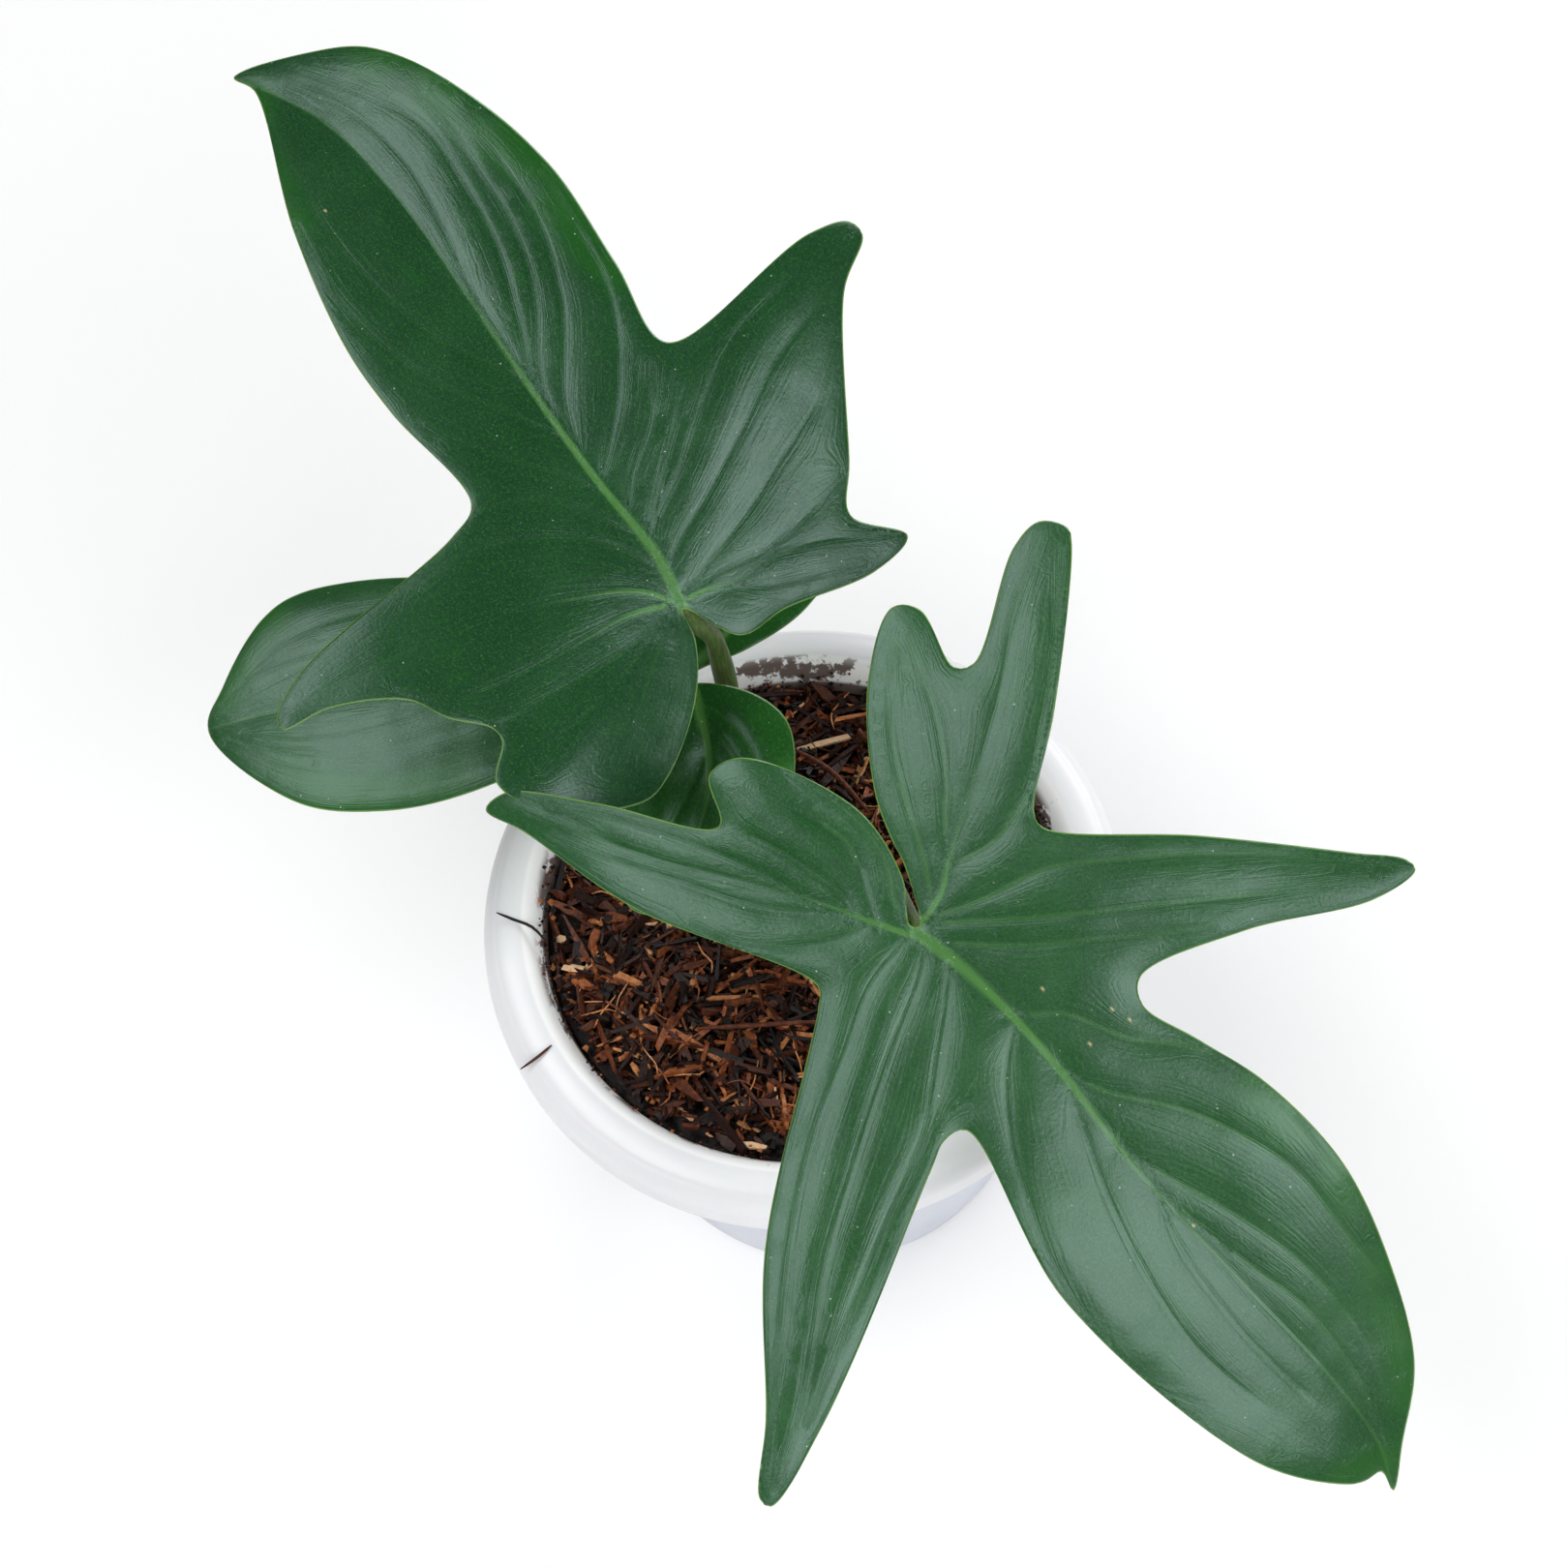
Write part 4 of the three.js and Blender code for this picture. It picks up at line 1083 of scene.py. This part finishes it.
def mix_crumbs(material):
    """Small lumps between the splinters, and some stuck to the inside of the rim."""
    random_of = random.Random(MIX_SEED + 1)
    heap = Heap()
    corners = np.array([(1, 0, 0), (-1, 0, 0), (0, 1, 0), (0, -1, 0), (0, 0, 1), (0, 0, -1)], float)
    sides = [(0, 2, 4), (2, 1, 4), (1, 3, 4), (3, 0, 4), (2, 0, 5), (1, 2, 5), (3, 1, 5), (0, 3, 5)]
    for k in range(CRUMB_COUNT):
        angle = random_of.uniform(0, 2 * math.pi)
        size = random_of.triangular(0.25, 1.1, 0.4)
        if k % 6:
            radius = (inner_radius(MIX_TOP) - 0.8) * math.sqrt(random_of.random())
            x, y = polar(radius, angle)
            z = float(mix_height(x, y)) + random_of.uniform(-0.4, 1.0)
        else:
            size *= 0.55
            z = MIX_TOP + random_of.triangular(0, 4.4, 0.3)
            radius = RIM_INNER_RADIUS + 0.06 * (z - MIX_TOP) ** 2 - 0.15
            x, y = polar(radius, angle)
        shape = corners * size * np.array([[random_of.uniform(0.5, 1.3)] for _ in corners])
        heap.add((shape + (x, y, z)).tolist(), sides, random_of.choices(*CRUMB_TONES)[0])
    return heap.piece("mix_crumbs", material)


# Tubes: petioles, threads and twigs


def tube(path, radii, sides=PETIOLE_SIDES):
    """Rings of places round a path, and the faces that close them into one body."""
    path = np.asarray(path, float)
    tangents = np.gradient(path, axis=0)
    tangents /= np.linalg.norm(tangents, axis=1)[:, None]
    side = np.cross(tangents[0], (0, 0, 1.0))
    if np.linalg.norm(side) < 0.1:
        side = np.cross(tangents[0], (1.0, 0, 0))
    places = []
    angles = 2 * math.pi * np.arange(sides) / sides
    for place, tangent, radius in zip(path, tangents, radii):
        side = side - tangent * (side @ tangent)
        side /= np.linalg.norm(side)
        other = np.cross(tangent, side)
        ring = np.outer(np.cos(angles), side) + np.outer(np.sin(angles), other)
        places += (place + radius * ring).tolist()
    return places, tube_faces(len(path), sides)


def petiole_body(key, leaf, material):
    """The petiole rises to the blade's base and runs out below the midrib."""
    base, along, across, up, length = blade_frame(leaf)
    foot, end = leaf["radii"]

    def below(x, depth):
        rib = midrib_at(leaf, x)
        at = (leaf, length, np.array(x, float), np.array(rib, float))
        height = float(blade_height(*at) + living_bend(*at))
        return base + along * x + across * rib + up * (height - depth)

    route = [*leaf["petiole"], below(SEAT_REACH, 1.2 * end), below(4.5, end), below(10, 0.6)]
    path = smooth_curve(route, 1.0)
    share = np.linspace(0, 1, len(path))
    seat = 1 - 9.5 / len(path)
    radii = foot + (end - foot) * np.minimum(share / seat, 1) ** 2
    radii = np.where(share > seat, end * (1 - 0.8 * (share - seat) / (1 - seat)), radii)
    radii *= 1 + 0.05 * np.sin(np.arange(len(path)) / 3.1)
    places, faces = tube(path, radii)
    along_share = np.repeat(share, PETIOLE_SIDES)
    return make_piece(f"petiole_{key}_skin", places, faces, material, along=along_share)


def stem_body(material):
    """A short crown with ring scars and low ridges where old leaves stood."""
    heights = np.linspace(MIX_TOP - HOLE_DEPTH + GAP, STEM_TOP, STEM_RINGS)
    places, share = [], []
    for z in heights:
        t = (z - heights[0]) / (heights[-1] - heights[0])
        radius = STEM_RADIUS - 0.5 * t - 1.1 * smooth_step(0.92, 1.0, t)
        radius += 0.22 * abs(math.sin(z * 1.05)) ** 6
        for j in range(STEM_SIDES):
            angle = 2 * math.pi * j / STEM_SIDES
            ridge = 0.18 * math.sin(3 * angle + 0.2 * z)
            ridge += 0.12 * noise.noise((angle * 2, z / 2, 3.0))
            dx, dy = polar(min(radius + ridge, STEM_RADIUS), angle)
            places.append((STEM_CENTRE[0] + dx, STEM_CENTRE[1] + dy, z))
            share.append(0.4 + 0.5 * abs(math.sin(z * 1.05)) ** 8)
    faces = tube_faces(len(heights), STEM_SIDES)
    return make_piece("stem_skin", places, faces, material, along=share)


def joined_tubes(name, routes, material):
    """Several thin tubes as one piece. A route is its places, its radius and its tone."""
    heap = Heap()
    for points, radius, tone in routes:
        path = smooth_curve(points, 1.2)
        taper = 1 - 0.6 * np.abs(np.linspace(-1, 1, len(path))) ** 3
        heap.add(*tube(path, radius * taper, THREAD_SIDES), tone)
    return heap.piece(name, material, smooth=True)


def dry_fibres(material):
    """Fibres that lie over the rim and twigs on the mix, then short threads at random."""
    rim = POT_HEIGHT + 0.3
    routes = [
        ([(-56.3, 7.3, 90.2), (-53.4, 5.4, rim), (-50, 3.2, rim), (-47.6, 0, 89.4)], 0.3, 0.15),
        ([(-55, -23.8, 89), (-51.5, -22.5, rim), (-48.8, -20.7, rim)], 0.3, 0.5),
        ([(-22.4, -20.6, 87), (-11.9, -22, 87.4), (-0.5, -23, 87)], 0.5, 0.62),
        ([(2.9, 33.7, 86.5), (9.7, 26.5, 87.6), (15.3, 17.2, 86.8)], 0.6, 0.6),
    ]
    random_of = random.Random(MIX_SEED + 2)
    for _ in range(THREAD_COUNT):
        radius = 0.88 * inner_radius(MIX_TOP) * math.sqrt(random_of.random())
        x, y = polar(radius, random_of.uniform(0, 2 * math.pi))
        heading = random_of.uniform(0, 2 * math.pi)
        points = []
        for _ in range(THREAD_LINKS):
            if math.hypot(x, y) > inner_radius(MIX_TOP) - 1:
                break
            points.append((x, y, float(mix_height(x, y)) + random_of.uniform(0.6, 1.9)))
            heading += random_of.gauss(0, 0.5)
            reach = random_of.uniform(1.5, 3.2)
            dx, dy = polar(reach, heading)
            x, y = x + dx, y + dy
        if len(points) > 2:
            radius = random_of.uniform(0.1, 0.2)
            routes.append((points, radius, random_of.choice((0.3, 0.55, 0.75, 0.9))))
    return joined_tubes("dry_fibres", routes, material)


# The whole plant in its pot


def build_vessel():
    pot = pot_body(pot_material("pot_plastic_look"))
    place_piece(pot, "pot_plastic", "pot")
    look = mix_material("potting_mix_look")
    bed = mix_bed(look)
    place_piece(bed, "potting_mix", "potting_mix")
    for piece in (mix_splinters(look), mix_crumbs(look), dry_fibres(look)):
        place_piece(piece, "potting_mix")


def build_plant():
    leaf_looks = {
        "leaf_dark": leaf_material("leaf_dark_look", (0.0055, 0.042, 0.010), (0.009, 0.056, 0.014),
                                   (0.011, 0.095, 0.004), (0.10, 0.19, 0.085), 0.27, 0.52),
        "leaf_green": leaf_material("leaf_green_look", (0.010, 0.060, 0.013), (0.016, 0.08, 0.019),
                                    (0.018, 0.105, 0.009), (0.13, 0.23, 0.11), 0.28, 0.5),
        "leaf_fresh": leaf_material("leaf_fresh_look", (0.010, 0.075, 0.009), (0.017, 0.11, 0.012),
                                    (0.03, 0.19, 0.008), (0.15, 0.27, 0.1), 0.28, 0.4),
    }
    petiole_look = petiole_material("petiole_look", (0.04, 0.075, 0.016), (0.05, 0.018, 0.011))
    stem_look = petiole_material("stem_look", (0.1, 0.14, 0.04), (0.09, 0.05, 0.025))
    place_piece(stem_body(stem_look), "stem", "stem")
    for key, leaf in LEAVES.items():
        places, faces, attributes = leaf_surface(leaf)
        blade = make_piece(f"blade_{key}", places, faces, leaf_looks[leaf["slot"]], **attributes)
        place_piece(blade, leaf["slot"], f"leaf_{key}")
        place_piece(petiole_body(key, leaf, petiole_look), "petiole", f"petiole_{key}")


# Camera, light and floor


def build_camera():
    elevation, roll = CAMERA_ELEVATION, CAMERA_ROLL
    back = Vector((0, -math.cos(elevation), math.sin(elevation)))
    right = Vector((1, 0, 0))
    up = Vector((0, math.sin(elevation), math.cos(elevation)))
    side = math.cos(roll) * right + math.sin(roll) * up
    top = -math.sin(roll) * right + math.cos(roll) * up
    turn = Matrix((side, top, back)).transposed().to_4x4()
    camera = linked("camera", bpy.data.cameras.new("camera"))
    camera.data.lens = CAMERA_LENS
    camera.data.sensor_width = CAMERA_SENSOR
    camera.data.clip_start = 0.01
    camera.matrix_world = Matrix.Translation(Vector(CAMERA_PLACE) * MM) @ turn
    bpy.context.scene.camera = camera


def soft_light(name, azimuth, elevation, distance, width, height, power):
    """A soft box that faces the plant from the given direction, in metres and degrees."""
    light = bpy.data.lights.new(name, "AREA")
    light.shape = "RECTANGLE"
    light.size = width
    light.size_y = height
    light.energy = power
    lamp = linked(name, light)
    across, rise = math.radians(azimuth), math.radians(elevation)
    away = Vector((*polar(math.cos(rise), across), math.sin(rise)))
    lamp.location = Vector((0, 0, LIGHT_AIM)) + distance * away
    lamp.rotation_euler = away.to_track_quat("Z", "Y").to_euler()


def build_stage():
    """World, lights and a pale floor that curves up into a wall all round."""
    world = bpy.data.worlds.new("studio")
    world.use_nodes = True
    background = world.node_tree.nodes["Background"]
    background.inputs["Color"].default_value = (0.93, 0.96, 1.0, 1)
    background.inputs["Strength"].default_value = WORLD_STRENGTH
    bpy.context.scene.world = world
    bpy.context.scene.view_settings.view_transform = "Standard"
    for light in LIGHTS:
        soft_light(*light)
    rings = [(share * FLOOR_RADIUS, 0.0) for share in (0.3, 0.7, 1)]
    for k in range(1, COVE_STEPS + 1):
        angle = math.pi / 2 * k / COVE_STEPS
        rise, out = polar(COVE_ROUND, angle)
        rings.append((FLOOR_RADIUS + out, COVE_ROUND - rise))
    rings.append((FLOOR_RADIUS + COVE_ROUND, COVE_HEIGHT))
    turns = [2 * math.pi * j / COVE_SIDES for j in range(COVE_SIDES)]
    places = [(*polar(radius, turn), z) for radius, z in rings for turn in turns]
    faces = [list(range(COVE_SIDES)), *ring_faces(len(rings), COVE_SIDES, reverse=True)]
    mesh = bpy.data.meshes.new("floor")
    mesh.from_pydata(places, [], faces)
    mesh.polygons.foreach_set("use_smooth", [True] * len(mesh.polygons))
    n = Nodes("floor_look")
    around = n.add("ShaderNodeTexCoord").outputs["Object"]
    away = n.add("ShaderNodeVectorMath", {0: around}, operation="LENGTH").outputs["Value"]
    tone = n.mix(n.ramp(away, 0.5, 1.4), (0.94, 0.94, 0.94, 1), (0.4, 0.4, 0.4, 1))
    mesh.materials.append(n.finish(tone, 0.8))
    linked("floor", mesh)


build_camera()
build_stage()
build_vessel()
build_plant()
